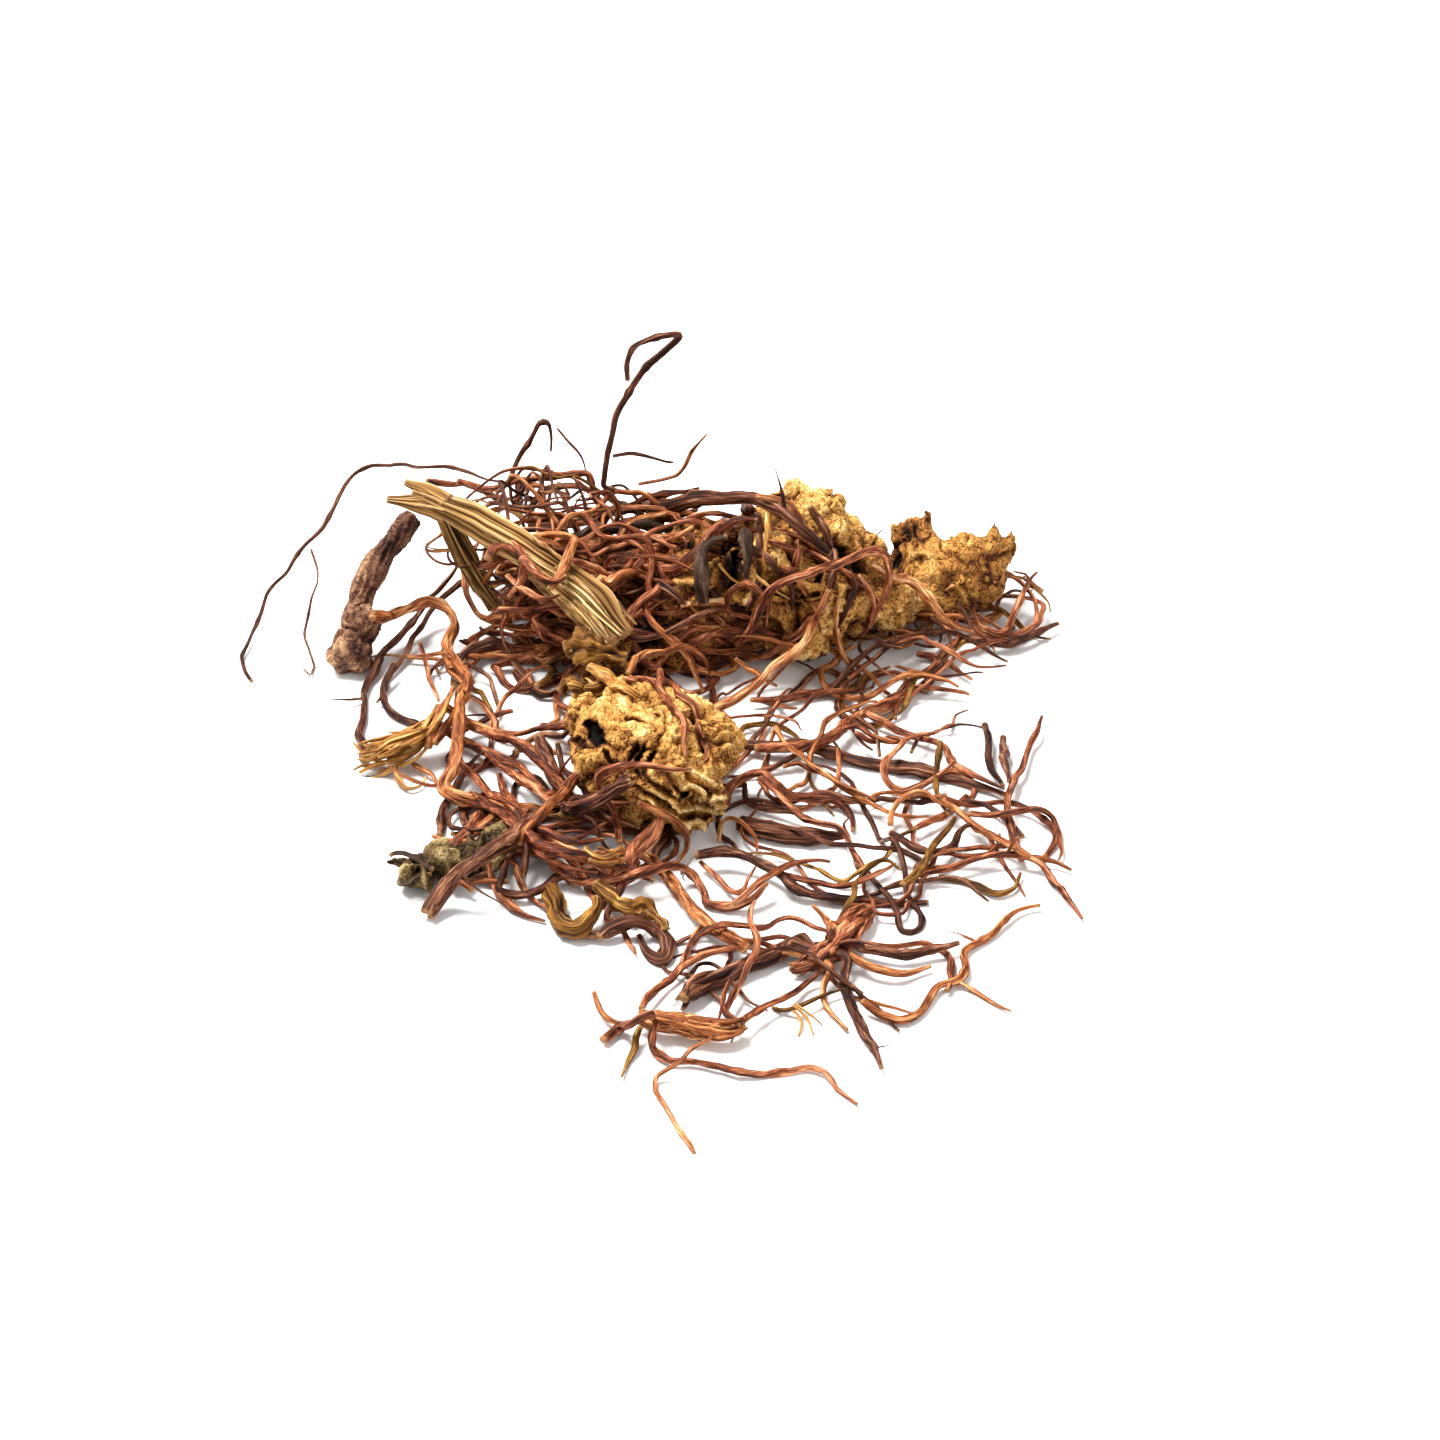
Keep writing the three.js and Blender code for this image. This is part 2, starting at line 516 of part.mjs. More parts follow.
// Two beads that are too near are moved apart: across both strands where these cross, straight apart where
// they run side by side.
function pushApart(one, other) {
  apart.subVectors(other.at, one.at);
  const reach = one.radius + other.radius + STRAND_GAP;
  const distance = apart.length();
  if (distance >= reach || distance < 1e-6) {
    return;
  }
  across.crossVectors(one.along, other.along);
  const slant = across.length();
  if (slant > 0.5) {
    across.multiplyScalar((across.dot(apart) < 0 ? -1 : 1) / slant);
  } else {
    across.copy(apart).multiplyScalar(1 / distance);
  }
  const move = 0.3 * (reach - distance);
  one.at.addScaledVector(across, -move);
  other.at.addScaledVector(across, move);
}

function takeDirections(strand) {
  const { beads } = strand;
  beads.forEach((bead, place) => {
    const before = beads[Math.max(place - 1, 0)];
    const after = beads[Math.min(place + 1, beads.length - 1)];
    bead.along.subVectors(after.at, before.at).normalize();
  });
}

// The moves are evened out along the strand, so that it bends and doesn't kink.
function evenOut(strand, share) {
  const { beads } = strand;
  const moves = beads.map((bead) => bead.at.clone().sub(bead.home));
  beads.forEach((bead, place) => {
    const before = moves[Math.max(place - 1, 0)];
    const after = moves[Math.min(place + 1, beads.length - 1)];
    const mean = before.clone().add(after).multiplyScalar(0.5);
    bead.at.copy(bead.home).add(moves[place].clone().lerp(mean, share));
  });
}

function settle(strands) {
  for (let round = 0; round < SETTLE_ROUNDS; round += 1) {
    strands.forEach(takeDirections);
    strands.forEach((strand, first) => {
      for (let second = first; second < strands.length; second += 1) {
        const other = strands[second];
        const apartAlong = first === second ? Math.ceil((6 * strand.radius + 2) / BEAD_STEP) : -Infinity;
        for (const one of strand.beads) {
          for (const two of other.beads) {
            const near = Math.abs(one.at.x - two.at.x) < 4 && Math.abs(one.at.y - two.at.y) < 4;
            if (near && (first !== second || two.place - one.place > apartAlong)) {
              pushApart(one, two);
            }
          }
        }
      }
    });
    const share = round < SETTLE_ROUNDS - SETTLE_FINISH ? 0.5 : 0.15;
    strands.forEach((strand) => evenOut(strand, share));
    strands.forEach((strand) => strand.beads.forEach(liftOut));
  }
  return strands;
}

function piece(name, look, geometry) {
  const [color, roughness] = LOOKS[look];
  const mesh = new THREE.Mesh(geometry, new THREE.MeshStandardMaterial({ color, roughness, metalness: 0 }));
  mesh.name = name;
  return mesh;
}

const root = new THREE.Group();
root.add(piece("rhizome", "bark", meshOf(makeRhizome())));
root.add(piece("stem_stub", "stem", meshOf(makeStem())));
root.add(piece("stout_root", "stout", meshOf(makeStoutRoot())));
root.add(piece("fibrous_bud", "fibre", meshOf(makeKnobbly(budKnobs))));
root.add(piece("side_offset", "olive", meshOf(makeKnobbly(offsetKnobs))));
root.add(piece("front_knot", "ochre", meshOf(makeKnobbly(frontKnotKnobs))));
root.add(piece("front_hub", "ochre", meshOf(makeKnobbly(hubKnobs))));
for (const strand of settle(ROOTLETS.map(makeStrand))) {
  const places = strand.beads.map((bead) => bead.at);
  root.add(piece(strand.name, strand.look, tubeGeometry(places, strand.radius, ROOTLET_SIDES, ROOTLET_FACET)));
}

export default root;
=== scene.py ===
"""Dried aster root: a knobbly golden rhizome, a forked dry stem and a springy tangle of furrowed rootlets.

Lengths are in millimetres until a mesh is made, which is in metres. Every strand is a furrowed tube carried
along a smooth path; every lump is the solid's own shape with its bark worked out from noise.
"""
import itertools
import json
import math

import bpy
import numpy as np
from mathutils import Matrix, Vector
from mathutils.bvhtree import BVHTree


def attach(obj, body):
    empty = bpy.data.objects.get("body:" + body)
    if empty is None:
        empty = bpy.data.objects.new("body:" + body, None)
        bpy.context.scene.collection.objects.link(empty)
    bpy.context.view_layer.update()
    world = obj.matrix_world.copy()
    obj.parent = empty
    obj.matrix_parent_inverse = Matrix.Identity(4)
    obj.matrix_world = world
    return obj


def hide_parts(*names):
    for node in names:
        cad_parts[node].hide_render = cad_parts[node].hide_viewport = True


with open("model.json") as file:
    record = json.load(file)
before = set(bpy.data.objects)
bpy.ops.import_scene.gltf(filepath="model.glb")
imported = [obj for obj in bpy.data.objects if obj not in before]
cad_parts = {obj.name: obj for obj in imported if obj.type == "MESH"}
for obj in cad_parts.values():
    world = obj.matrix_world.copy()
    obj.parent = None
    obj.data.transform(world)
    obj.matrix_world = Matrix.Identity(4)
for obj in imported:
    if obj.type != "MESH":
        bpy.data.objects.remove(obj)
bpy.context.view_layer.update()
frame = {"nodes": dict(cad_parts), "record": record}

MM = 0.001

# The photograph's camera: it looks down at the root from the front through a long lens
PICTURE_CENTRE = 720
PICTURE_FOCAL = 3840
SENSOR_WIDTH = 36
VIEW_DISTANCE = 550
VIEW_DOWN = math.radians(35)
VIEW_AIM = np.array([-8.0, -20.0, 0.0])
VIEW_FORWARD = np.array([0, math.cos(VIEW_DOWN), -math.sin(VIEW_DOWN)])
VIEW_UP = np.array([0, math.sin(VIEW_DOWN), math.cos(VIEW_DOWN)])
VIEW_EYE = VIEW_AIM - VIEW_DISTANCE * VIEW_FORWARD

# How finely the surfaces are divided, in mm
BARK_VOXEL = 0.33
KNOT_VOXEL = 0.26
STRAND_STEP = 0.42
# How far above the table the lowest skin is kept, in mm
LOWEST = 0.02
# How far apart a strand's swollen joints are on average, in mm
JOINT_SPACING = 9.0
# Strands thicker than this, as a radius in mm, show several ribs
STOUT_STRAND = 0.78
# Strands thinner than this, as a radius in mm, have no side roots
BARE_STRAND = 0.5
# Limbs this thick or thicker, as a radius in mm, have no swollen joints
SMOOTH_LIMB = 1.2
# Drawn strands thicker than this, as a radius in mm, are knobbly
KNOBBLY_STRAND = 1.0
# How far apart a rootlet's side roots are on average, in mm
SIDE_ROOT_SPACING = 24
# How far from a knot's middle a strand's end is still taken to grow from it, in mm
KNOT_REACH = 5.0
# A typical strand's radius and the widths of the fibres and specks in its skin, in mm
TYPICAL_RADIUS = 0.585
FIBRE_WIDTH = 0.13
SPECK_WIDTH = 0.045

# The first seed of each group of strands, and how far apart the seeds in one group are
ROOTLET_SEED = 100
FIBRE_SEED = 600
DRAWN_SEED = 2000
NEST_SEED = 5000
LOOSE_SEED = 9000
SIDE_ROOT_SEED = 30000
PLAIT_SEED = 60000
SEED_STEP = 20

# Kinds of strand: sides round it, depth of its furrows as a share of its radius, mm between its rings, how far
# it is bent in mm, the widths of its two tips as shares, how many times finer its ribs are, and how high its
# knobs are
ROOTLET = dict(sides=18, furrow=0.26)
STOUT_ROOTLET = dict(sides=32, furrow=0.3, ribs=1.6)
SIDE_ROOT = dict(sides=8, furrow=0.15, step=0.5, wander=0.2, tip=(1, 0.4))
PLAIT = dict(sides=10, furrow=0.3, step=0.5, wander=0.45, tip=(0.7, 0.5))
SPLINTER = dict(sides=9, furrow=0.2, step=0.5, wander=0.12, tip=(0.4, 0.4))
STEM_SHAFT = dict(sides=150, furrow=0.32, step=0.5, wander=0.2, tip=(0.6, 0.6), ribs=4.6)
STEM_WIDE = dict(sides=140, furrow=0.32, step=0.5, wander=0.2, tip=(0.5, 0.6), ribs=4.4)
STEM_PRONG = dict(sides=60, furrow=0.4, step=0.4, wander=0.1, tip=(1, 0.6), ribs=2.6)
STEM_LEG = dict(sides=60, furrow=0.4, step=0.4, wander=0.4, tip=(1, 0.5), ribs=2.4)
BUD_FIBRE = dict(sides=8, furrow=0.3, step=0.5, wander=0.7, tip=(0.6, 0.5))
KNOT = dict(sides=40, furrow=0.36, step=0.35, wander=0.4, tip=(0.6, 0.6), ribs=1.6, knob=0.6)
DRAWN_STRAND = dict(sides=12, furrow=0.24, step=0.5, wander=0.38, tip=(0.8, 0.55))
DRAWN_KNOB = dict(sides=36, furrow=0.3, step=0.3, wander=0.5, tip=(0.6, 0.6), ribs=1.2, knob=1.3)
NEST_STRAND = dict(sides=10, furrow=0.26, step=0.55, wander=0.45, tip=(0.9, 0.6))
LOOSE_STRAND = dict(sides=10, furrow=0.26, step=0.55, wander=0.65, tip=(0.85, 0.6))


def seen(route):
    """Places that picture points [x, y, height] show: the ray through each point, cut at its height."""
    route = np.asarray(route, float)
    ray = VIEW_FORWARD * PICTURE_FOCAL + VIEW_UP * (PICTURE_CENTRE - route[:, 1:2])
    ray[:, 0] += route[:, 0] - PICTURE_CENTRE
    return VIEW_EYE + ray * ((route[:, 2:3] - VIEW_EYE[2]) / ray[:, 2:3])


def pictured(points):
    """Picture x and y of places: each one's offset from the eye, divided by its distance along the view."""
    offset = points - VIEW_EYE
    depth = offset @ VIEW_FORWARD
    across = PICTURE_CENTRE + PICTURE_FOCAL * offset[:, 0] / depth
    down = PICTURE_CENTRE - PICTURE_FOCAL * (offset @ VIEW_UP) / depth
    return across, down


def hashed(cell, seed):
    """A repeatable value from -1 to 1 for each corner of a whole-number lattice."""
    mixed = cell[..., 0] * 374761393 + cell[..., 1] * 668265263 + cell[..., 2] * 1440662683 + seed * 974634777
    mixed = (mixed ^ (mixed >> 13)) * 1274126177
    mixed = mixed ^ (mixed >> 16)
    return (mixed & 0xFFFF) / 32767.5 - 1


def noise(points, size, seed):
    """Smooth values from -1 to 1: an eased blend of the hashed values at the eight lattice corners."""
    place = np.asarray(points, float) / size + 0.37 * seed
    cell = np.floor(place).astype(np.int64)
    part = place - cell
    ease = part * part * (3 - 2 * part)
    total = np.zeros(place.shape[:-1])
    for corner in itertools.product((0, 1), repeat=3):
        share = np.prod(np.where(np.array(corner) == 1, ease, 1 - ease), axis=-1)
        total += share * hashed(cell + np.array(corner), seed)
    return total


def noises(points, size, seed):
    """A noise for each axis."""
    return np.stack([noise(points, size, seed + axis) for axis in range(3)], axis=1)


def rough(points, size, seed, octaves=3):
    """Noise summed over octaves, each half as large and half as strong as the one before."""
    return sum(noise(points, size / 2 ** k, seed + 31 * k) / 2 ** k for k in range(octaves))


def cobbles(points, size, seed):
    """Distance to the nearest scattered point, in cells: low in a knob's middle, high in the seams."""
    place = np.asarray(points, float) / size + 0.61 * seed
    cell = np.floor(place).astype(np.int64)
    nearest = np.full(place.shape[:-1], 9.0)
    for step in itertools.product((-1, 0, 1), repeat=3):
        corner = cell + np.array(step)
        jitter = np.stack([hashed(corner, seed + 7 * axis) for axis in range(3)], axis=-1)
        offset = corner + 0.5 + 0.42 * jitter - place
        nearest = np.minimum(nearest, np.sqrt((offset * offset).sum(axis=-1)))
    return nearest


def eased(value, low, high):
    """0 below low, 1 above high, and a smooth rise between them."""
    part = np.clip((value - low) / (high - low), 0, 1)
    return part * part * (3 - 2 * part)


def smooth_path(points, step):
    """Evenly spaced places on the Catmull-Rom curve through points."""
    points = np.asarray(points, float)
    ends = np.vstack([2 * points[0] - points[1], points, 2 * points[-1] - points[-2]])
    fine = np.linspace(0, 1, 12, endpoint=False)[None, :, None]
    a, b, c, d = (ends[k:len(ends) - 3 + k, None, :] for k in range(4))
    curve = 0.5 * (
        2 * b + (c - a) * fine + (2 * a - 5 * b + 4 * c - d) * fine ** 2 + (3 * b - a - 3 * c + d) * fine ** 3
    )
    curve = np.vstack([curve.reshape(-1, 3), points[-1:]])
    travel = np.concatenate([[0], np.cumsum(np.linalg.norm(np.diff(curve, axis=0), axis=1))])
    count = max(4, int(round(travel[-1] / step)) + 1)
    stops = np.linspace(0, travel[-1], count)
    return np.stack([np.interp(stops, travel, curve[:, axis]) for axis in range(3)], axis=1), stops


def kinked(path, stops, amount, seed):
    """The path bent as a drying root bends: slow noise, plus straight lines between uneven knees."""
    draw = np.random.default_rng(seed)
    line = np.stack([stops, np.zeros_like(stops), np.zeros_like(stops)], axis=1)
    slow = noises(line, 5.0, seed)
    knees = np.concatenate([[0], np.cumsum(draw.uniform(1.6, 5.5, 2 + int(stops[-1] / 1.6)))])
    jumps = draw.uniform(-1, 1, (len(knees), 3))
    sharp = np.stack([np.interp(stops, knees, jumps[:, axis]) for axis in range(3)], axis=1)
    return path + amount * (slow + 0.9 * sharp)


def carried_frame(path):
    """Directions along, beside and across a path: the one beside is carried on from ring to ring, and only
    loses what has come to point along the path."""
    along = np.gradient(path, axis=0)
    along /= np.linalg.norm(along, axis=1, keepdims=True)
    beside = np.empty_like(along)
    last = np.cross(along[0], np.eye(3)[np.argmin(np.abs(along[0]))])
    for number, ahead in enumerate(along):
        last = last - (last @ ahead) * ahead
        last /= np.linalg.norm(last)
        beside[number] = last
    return along, beside, np.cross(along, beside)


def strand(
    path, radius, seed, sides, furrow, step=STRAND_STEP, wander=0.36, tip=(0.85, 0.6), ribs=1.0, knob=0.0
):
    """A furrowed tube: at distance s and angle a round the path, the surface stands off by the strand's
    thickness at s, times one plus long narrow noise in (cos a, sin a, s), which makes ridges along the
    strand, and round knobs where they are asked for.

    Returns points, quads and the values that its finish reads: the grain's place, groove depth (which the
    finish turns into painted shade and highlight), tone and how fresh the break is.
    """
    path, stops = smooth_path(path, step)
    path = kinked(path, stops, wander, seed)
    length = stops[-1]
    along, side, other = carried_frame(path)
    line = np.stack([stops, np.full_like(stops, 3.3), np.zeros_like(stops)], axis=1)
    swell = 1 + 0.17 * noise(line, 5.5, seed + 11) + 0.09 * noise(line, 1.9, seed + 12)
    joints = np.random.default_rng(seed + 5).uniform(0, length, int(length / JOINT_SPACING))
    knuckle = 0.28 if np.max(radius) < SMOOTH_LIMB else 0.0
    swell += knuckle * np.exp(-(((stops[:, None] - joints) / 0.7) ** 2)).sum(axis=1)
    start = tip[0] + (1 - tip[0]) * eased(stops, 0, 3)
    end = tip[1] + (1 - tip[1]) * eased(length - stops, 0, 6)
    thick = np.interp(stops / length, np.linspace(0, 1, len(np.atleast_1d(radius))), np.atleast_1d(radius))
    thick = thick * swell * start * end
    turn = np.linspace(0, 2 * np.pi, sides, endpoint=False)
    twist = (0.12 * stops + 0.8 * noise(line, 9.0, seed + 13)) / ribs ** 2
    angle = turn[None, :] + twist[:, None]
    onward = np.broadcast_to((0.14 / ribs ** 2) * stops[:, None], angle.shape)
    grain = np.stack([np.cos(angle), np.sin(angle), onward], axis=2)
    ridge = 0.65 * noise(grain, 0.7 / ribs, seed + 14) + 0.5 * noise(grain, 0.3 / ribs, seed + 15)
    if knob:
        outward = np.cos(turn)[:, None] * side[:, None, :] + np.sin(turn)[:, None] * other[:, None, :]
        warts = knob * (2.2 - 4 * cobbles(path[:, None, :] + thick[:, None, None] * outward, 1.7, seed))
    else:
        warts = 0
    reach = thick[:, None] * (1 + furrow * (ridge + warts))
    squeeze = 0.88 + 0.12 * noise(line, 7.0, seed + 16)
    points = (
        path[:, None, :]
        + (reach * np.cos(turn))[:, :, None] * side[:, None, :]
        + (reach * np.sin(turn) * squeeze[:, None])[:, :, None] * other[:, None, :]
    )
    rings = len(path)
    body = points.reshape(-1, 3)
    caps = np.stack([path[0] + 0.25 * thick[0] * -along[0], path[-1] + 0.25 * thick[-1] * along[-1]])
    number = np.arange(rings * sides).reshape(rings, sides)
    after = np.roll(number, -1, axis=1)
    quads = np.stack([number[:-1], after[:-1], after[1:], number[1:]], axis=2).reshape(-1, 4)
    first = np.stack([np.full(sides, rings * sides), after[0], number[0]], axis=1)
    last = np.stack([np.full(sides, rings * sides + 1), number[-1], after[-1]], axis=1)
    tone = 0.6 * noise(line, 14.0, seed + 17) + 0.4 * noise(line, 4.0, seed + 18)
    fresh = np.maximum(1 - stops / 0.4, 1 - (length - stops) / 0.4).clip(0, 1)
    spread = np.ones((1, sides))
    return {
        "points": np.vstack([body, caps]),
        "faces": [quads, np.vstack([first, last])],
        "grain": np.vstack([grain.reshape(-1, 3) + 5.7 * seed, np.full((2, 3), 5.7 * seed)]),
        "groove": np.concatenate([ridge.ravel(), [0, 0]]),
        "tone": np.concatenate([(tone[:, None] * spread).ravel(), tone[[0, -1]]]),
        "fresh": np.concatenate([(fresh[:, None] * spread).ravel(), [1, 1]]),
    }


def together(parts):
    """Several surfaces as one: their points one after the other, their faces counted on from there."""
    whole = {"points": np.vstack([part["points"] for part in parts]), "faces": []}
    start = 0
    for part in parts:
        whole["faces"] += [faces + start for faces in part["faces"]]
        start += len(part["points"])
    for name in parts[0]:
        if name not in whole:
            whole[name] = np.concatenate([part[name] for part in parts])
    return whole


def make_mesh(name, surface):
    """A mesh in metres from a surface in mm, with each of its other values as a point attribute."""
    counts = np.concatenate([np.full(len(faces), faces.shape[1]) for faces in surface["faces"]])
    corners = np.concatenate([faces.ravel() for faces in surface["faces"]])
    mesh = bpy.data.meshes.new(name)
    mesh.vertices.add(len(surface["points"]))
    mesh.vertices.foreach_set("co", (surface["points"] * MM).astype(np.float32).ravel())
    mesh.loops.add(len(corners))
    mesh.loops.foreach_set("vertex_index", corners.astype(np.int32))
    mesh.polygons.add(len(counts))
    starts = np.concatenate([[0], np.cumsum(counts)[:-1]])
    mesh.polygons.foreach_set("loop_start", starts.astype(np.int32))
    for key, values in surface.items():
        if key in ("points", "faces"):
            continue
        kind, field = ("FLOAT_VECTOR", "vector") if values.ndim == 2 else ("FLOAT", "value")
        mesh.attributes.new(key, kind, "POINT").data.foreach_set(field, values.astype(np.float32).ravel())
    mesh.update(calc_edges=True)
    mesh.validate()
    mesh.shade_smooth()
    return mesh


def add_piece(name, surface, material, nodes=()):
    """A shown piece, kept just above the table, that rides on the root and stands for the nodes named."""
    surface["points"][:, 2] = np.maximum(surface["points"][:, 2], LOWEST)
    piece = bpy.data.objects.new(name, make_mesh(name, surface))
    bpy.context.scene.collection.objects.link(piece)
    piece.data.materials.append(material)
    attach(piece, "root")
    if nodes:
        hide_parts(*nodes)
    return piece


def node_points(name):
    """A solid's points in mm, with doubles merged, and its triangles."""
    mesh = frame["nodes"][name].data
    places = np.empty(3 * len(mesh.vertices), np.float32)
    mesh.vertices.foreach_get("co", places)
    mesh.calc_loop_triangles()
    corners = np.empty(3 * len(mesh.loop_triangles), np.int32)
    mesh.loop_triangles.foreach_get("vertices", corners)
    whole = np.round(places.reshape(-1, 3).astype(float) / MM, 3)
    points, place = np.unique(whole, axis=0, return_inverse=True)
    return points, place.ravel()[corners].reshape(-1, 3)


def centreline(name):
    """The path down the middle of a strand's solid, and its radius: the points that short edges join are
    one ring of the tube, the rings that share long edges are neighbours, and each ring's middle is a path
    point."""
    points, triangles = node_points(name)
    edges = np.vstack([triangles[:, [0, 1]], triangles[:, [1, 2]], triangles[:, [2, 0]]])
    span = np.linalg.norm(points[edges[:, 0]] - points[edges[:, 1]], axis=1)
    short = edges[span < 1.5]
    ring = np.arange(len(points))
    for _ in range(8):
        low = np.minimum(ring[short[:, 0]], ring[short[:, 1]])
        np.minimum.at(ring, short[:, 0], low)
        np.minimum.at(ring, short[:, 1], low)
    kinds, ring = np.unique(ring, return_inverse=True)
    ring = ring.ravel()
    share = np.bincount(ring)
    middle = np.stack([np.bincount(ring, points[:, axis]) / share for axis in range(3)], axis=1)
    radius = np.linalg.norm(points - middle[ring], axis=1).mean()
    joined = np.zeros((len(kinds), len(kinds)), bool)
    joined[ring[edges[:, 0]], ring[edges[:, 1]]] = True
    joined |= joined.T
    np.fill_diagonal(joined, False)
    order = [int(np.argmin(joined.sum(axis=1)))]
    while len(order) < len(kinds):
        onward = [k for k in np.flatnonzero(joined[order[-1]]) if k not in order]
        order.append(int(onward[0]))
    return middle[order], float(radius)


def even_skin(name, voxel, rounds):
    """A solid's shape as an even skin of quads: a merged copy, voxel remesh, then each point moved towards
    the mean of its neighbours a few times. Returns points in mm, quads and outward normals."""
    points, triangles = node_points(name)
    mesh = bpy.data.meshes.new("skin")
    mesh.from_pydata(points * MM, [], triangles)
    holder = bpy.data.objects.new("skin", mesh)
    bpy.context.scene.collection.objects.link(holder)
    even = holder.modifiers.new("even", "REMESH")
    even.mode = "VOXEL"
    even.voxel_size = voxel * MM
    soft = holder.modifiers.new("soft", "SMOOTH")
    soft.factor = 0.5
    soft.iterations = rounds
    done = bpy.data.meshes.new_from_object(holder.evaluated_get(bpy.context.evaluated_depsgraph_get()))
    places = np.empty(3 * len(done.vertices), np.float32)
    done.vertices.foreach_get("co", places)
    normals = np.empty(3 * len(done.vertices), np.float32)
    done.vertices.foreach_get("normal", normals)
    corners = np.empty(len(done.loops), np.int32)
    done.loops.foreach_get("vertex_index", corners)
    bpy.data.objects.remove(holder)
    quads = corners.reshape(-1, 4)
    return places.reshape(-1, 3).astype(float) / MM, quads, normals.reshape(-1, 3).astype(float)


def colour(code):
    """Linear red, green, blue and alpha of an sRGB hex value."""
    parts = [int(code[k:k + 2], 16) / 255 for k in (1, 3, 5)]
    return [p / 12.92 if p <= 0.04045 else ((p + 0.055) / 1.055) ** 2.4 for p in parts] + [1.0]


def put(tree, kind, inputs, stops=(), **settings):
    """Adds a node: its settings, its ramp's stops (place and hex), then each input's value or link."""
    made = tree.nodes.new(kind)
    for name, value in settings.items():
        setattr(made, name, value)
    for count, (place, code) in enumerate(stops):
        spots = made.color_ramp.elements
        spot = spots[count] if count < 2 else spots.new(place)
        spot.position = place
        spot.color = colour(code)
    for socket, value in inputs.items():
        if isinstance(value, bpy.types.NodeSocket):
            tree.links.new(value, made.inputs[socket])
        else:
            made.inputs[socket].default_value = value
    return made


def new_material(name):
    """An empty node tree with its output node."""
    material = bpy.data.materials.new(name)
    material.use_nodes = True
    tree = material.node_tree
    tree.nodes.clear()
    return material, tree, tree.nodes.new("ShaderNodeOutputMaterial")


def mesh_value(tree, name, output="Fac"):
    """A value that the mesh has at each point."""
    return put(tree, "ShaderNodeAttribute", {}, attribute_name=name).outputs[output]


def arithmetic(tree, operation, *values):
    """The result of an operation on numbers and links."""
    return put(tree, "ShaderNodeMath", dict(enumerate(values)), operation=operation).outputs[0]


def mottle(tree, place, size, detail, roughness, distortion):
    """Noise whose lumps are as large as size, in mm."""
    inputs = {"Vector": place, "Scale": 1 / (size * MM), "Detail": detail, "Roughness": roughness}
    inputs["Distortion"] = distortion
    return put(tree, "ShaderNodeTexNoise", inputs).outputs["Fac"]


def shaded(tree, output, base, bump, roughness, sheen):
    """Joins a base colour and a bump to the output as a dry surface."""
    inputs = {"Base Color": base, "Roughness": roughness, "IOR": 1.45, "Specular IOR Level": sheen}
    inputs["Normal"] = bump.outputs["Normal"]
    shader = put(tree, "ShaderNodeBsdfPrincipled", inputs)
    tree.links.new(shader.outputs["BSDF"], output.inputs["Surface"])


BROKEN_WOOD = "#B98C5C"


def furrowed_skin(name, deep, low, high, pale, roughness, sheen):
    """Dried rootlet skin: thin corky bark shrunk into long furrows. Its colour has painted shade in the
    grooves and a painted highlight on the ridges, under a satin shine, with patches of redder and greyer skin,
    and pale wood where a strand is broken."""
    material, tree, output = new_material(name)
    grain = mesh_value(tree, "grain", "Vector")
    fibre = put(
        tree, "ShaderNodeTexNoise",
        {"Vector": grain, "Scale": TYPICAL_RADIUS / FIBRE_WIDTH, "Detail": 4.0, "Roughness": 0.6},
    ).outputs["Fac"]
    speck = put(
        tree, "ShaderNodeTexNoise",
        {"Vector": grain, "Scale": TYPICAL_RADIUS / SPECK_WIDTH, "Detail": 2.0},
    ).outputs["Fac"]
    light = arithmetic(tree, "MULTIPLY_ADD", fibre, 1.5, -0.24)
    # Painted shade and highlight: the groove depth darkens the furrows and lightens the ridges
    light = arithmetic(tree, "MULTIPLY_ADD", mesh_value(tree, "groove"), 0.42, light)
    light = arithmetic(tree, "MULTIPLY_ADD", mesh_value(tree, "tone"), 0.16, light)
    ramp = put(
        tree, "ShaderNodeValToRGB", {"Fac": light},
        stops=[(0.2, deep), (0.92, pale), (0.44, low), (0.66, high)],
    )
    worn = arithmetic(tree, "MULTIPLY", speck, mesh_value(tree, "fresh"))
    ends = put(
        tree, "ShaderNodeMix",
        {"Factor": worn, "A": ramp.outputs["Color"], "B": colour(BROKEN_WOOD)},
        data_type="RGBA",
    )
    bump = put(tree, "ShaderNodeBump", {"Height": fibre, "Strength": 0.7, "Distance": 0.15 * MM})
    shaded(tree, output, ends.outputs["Result"], bump, roughness, sheen)
    return material


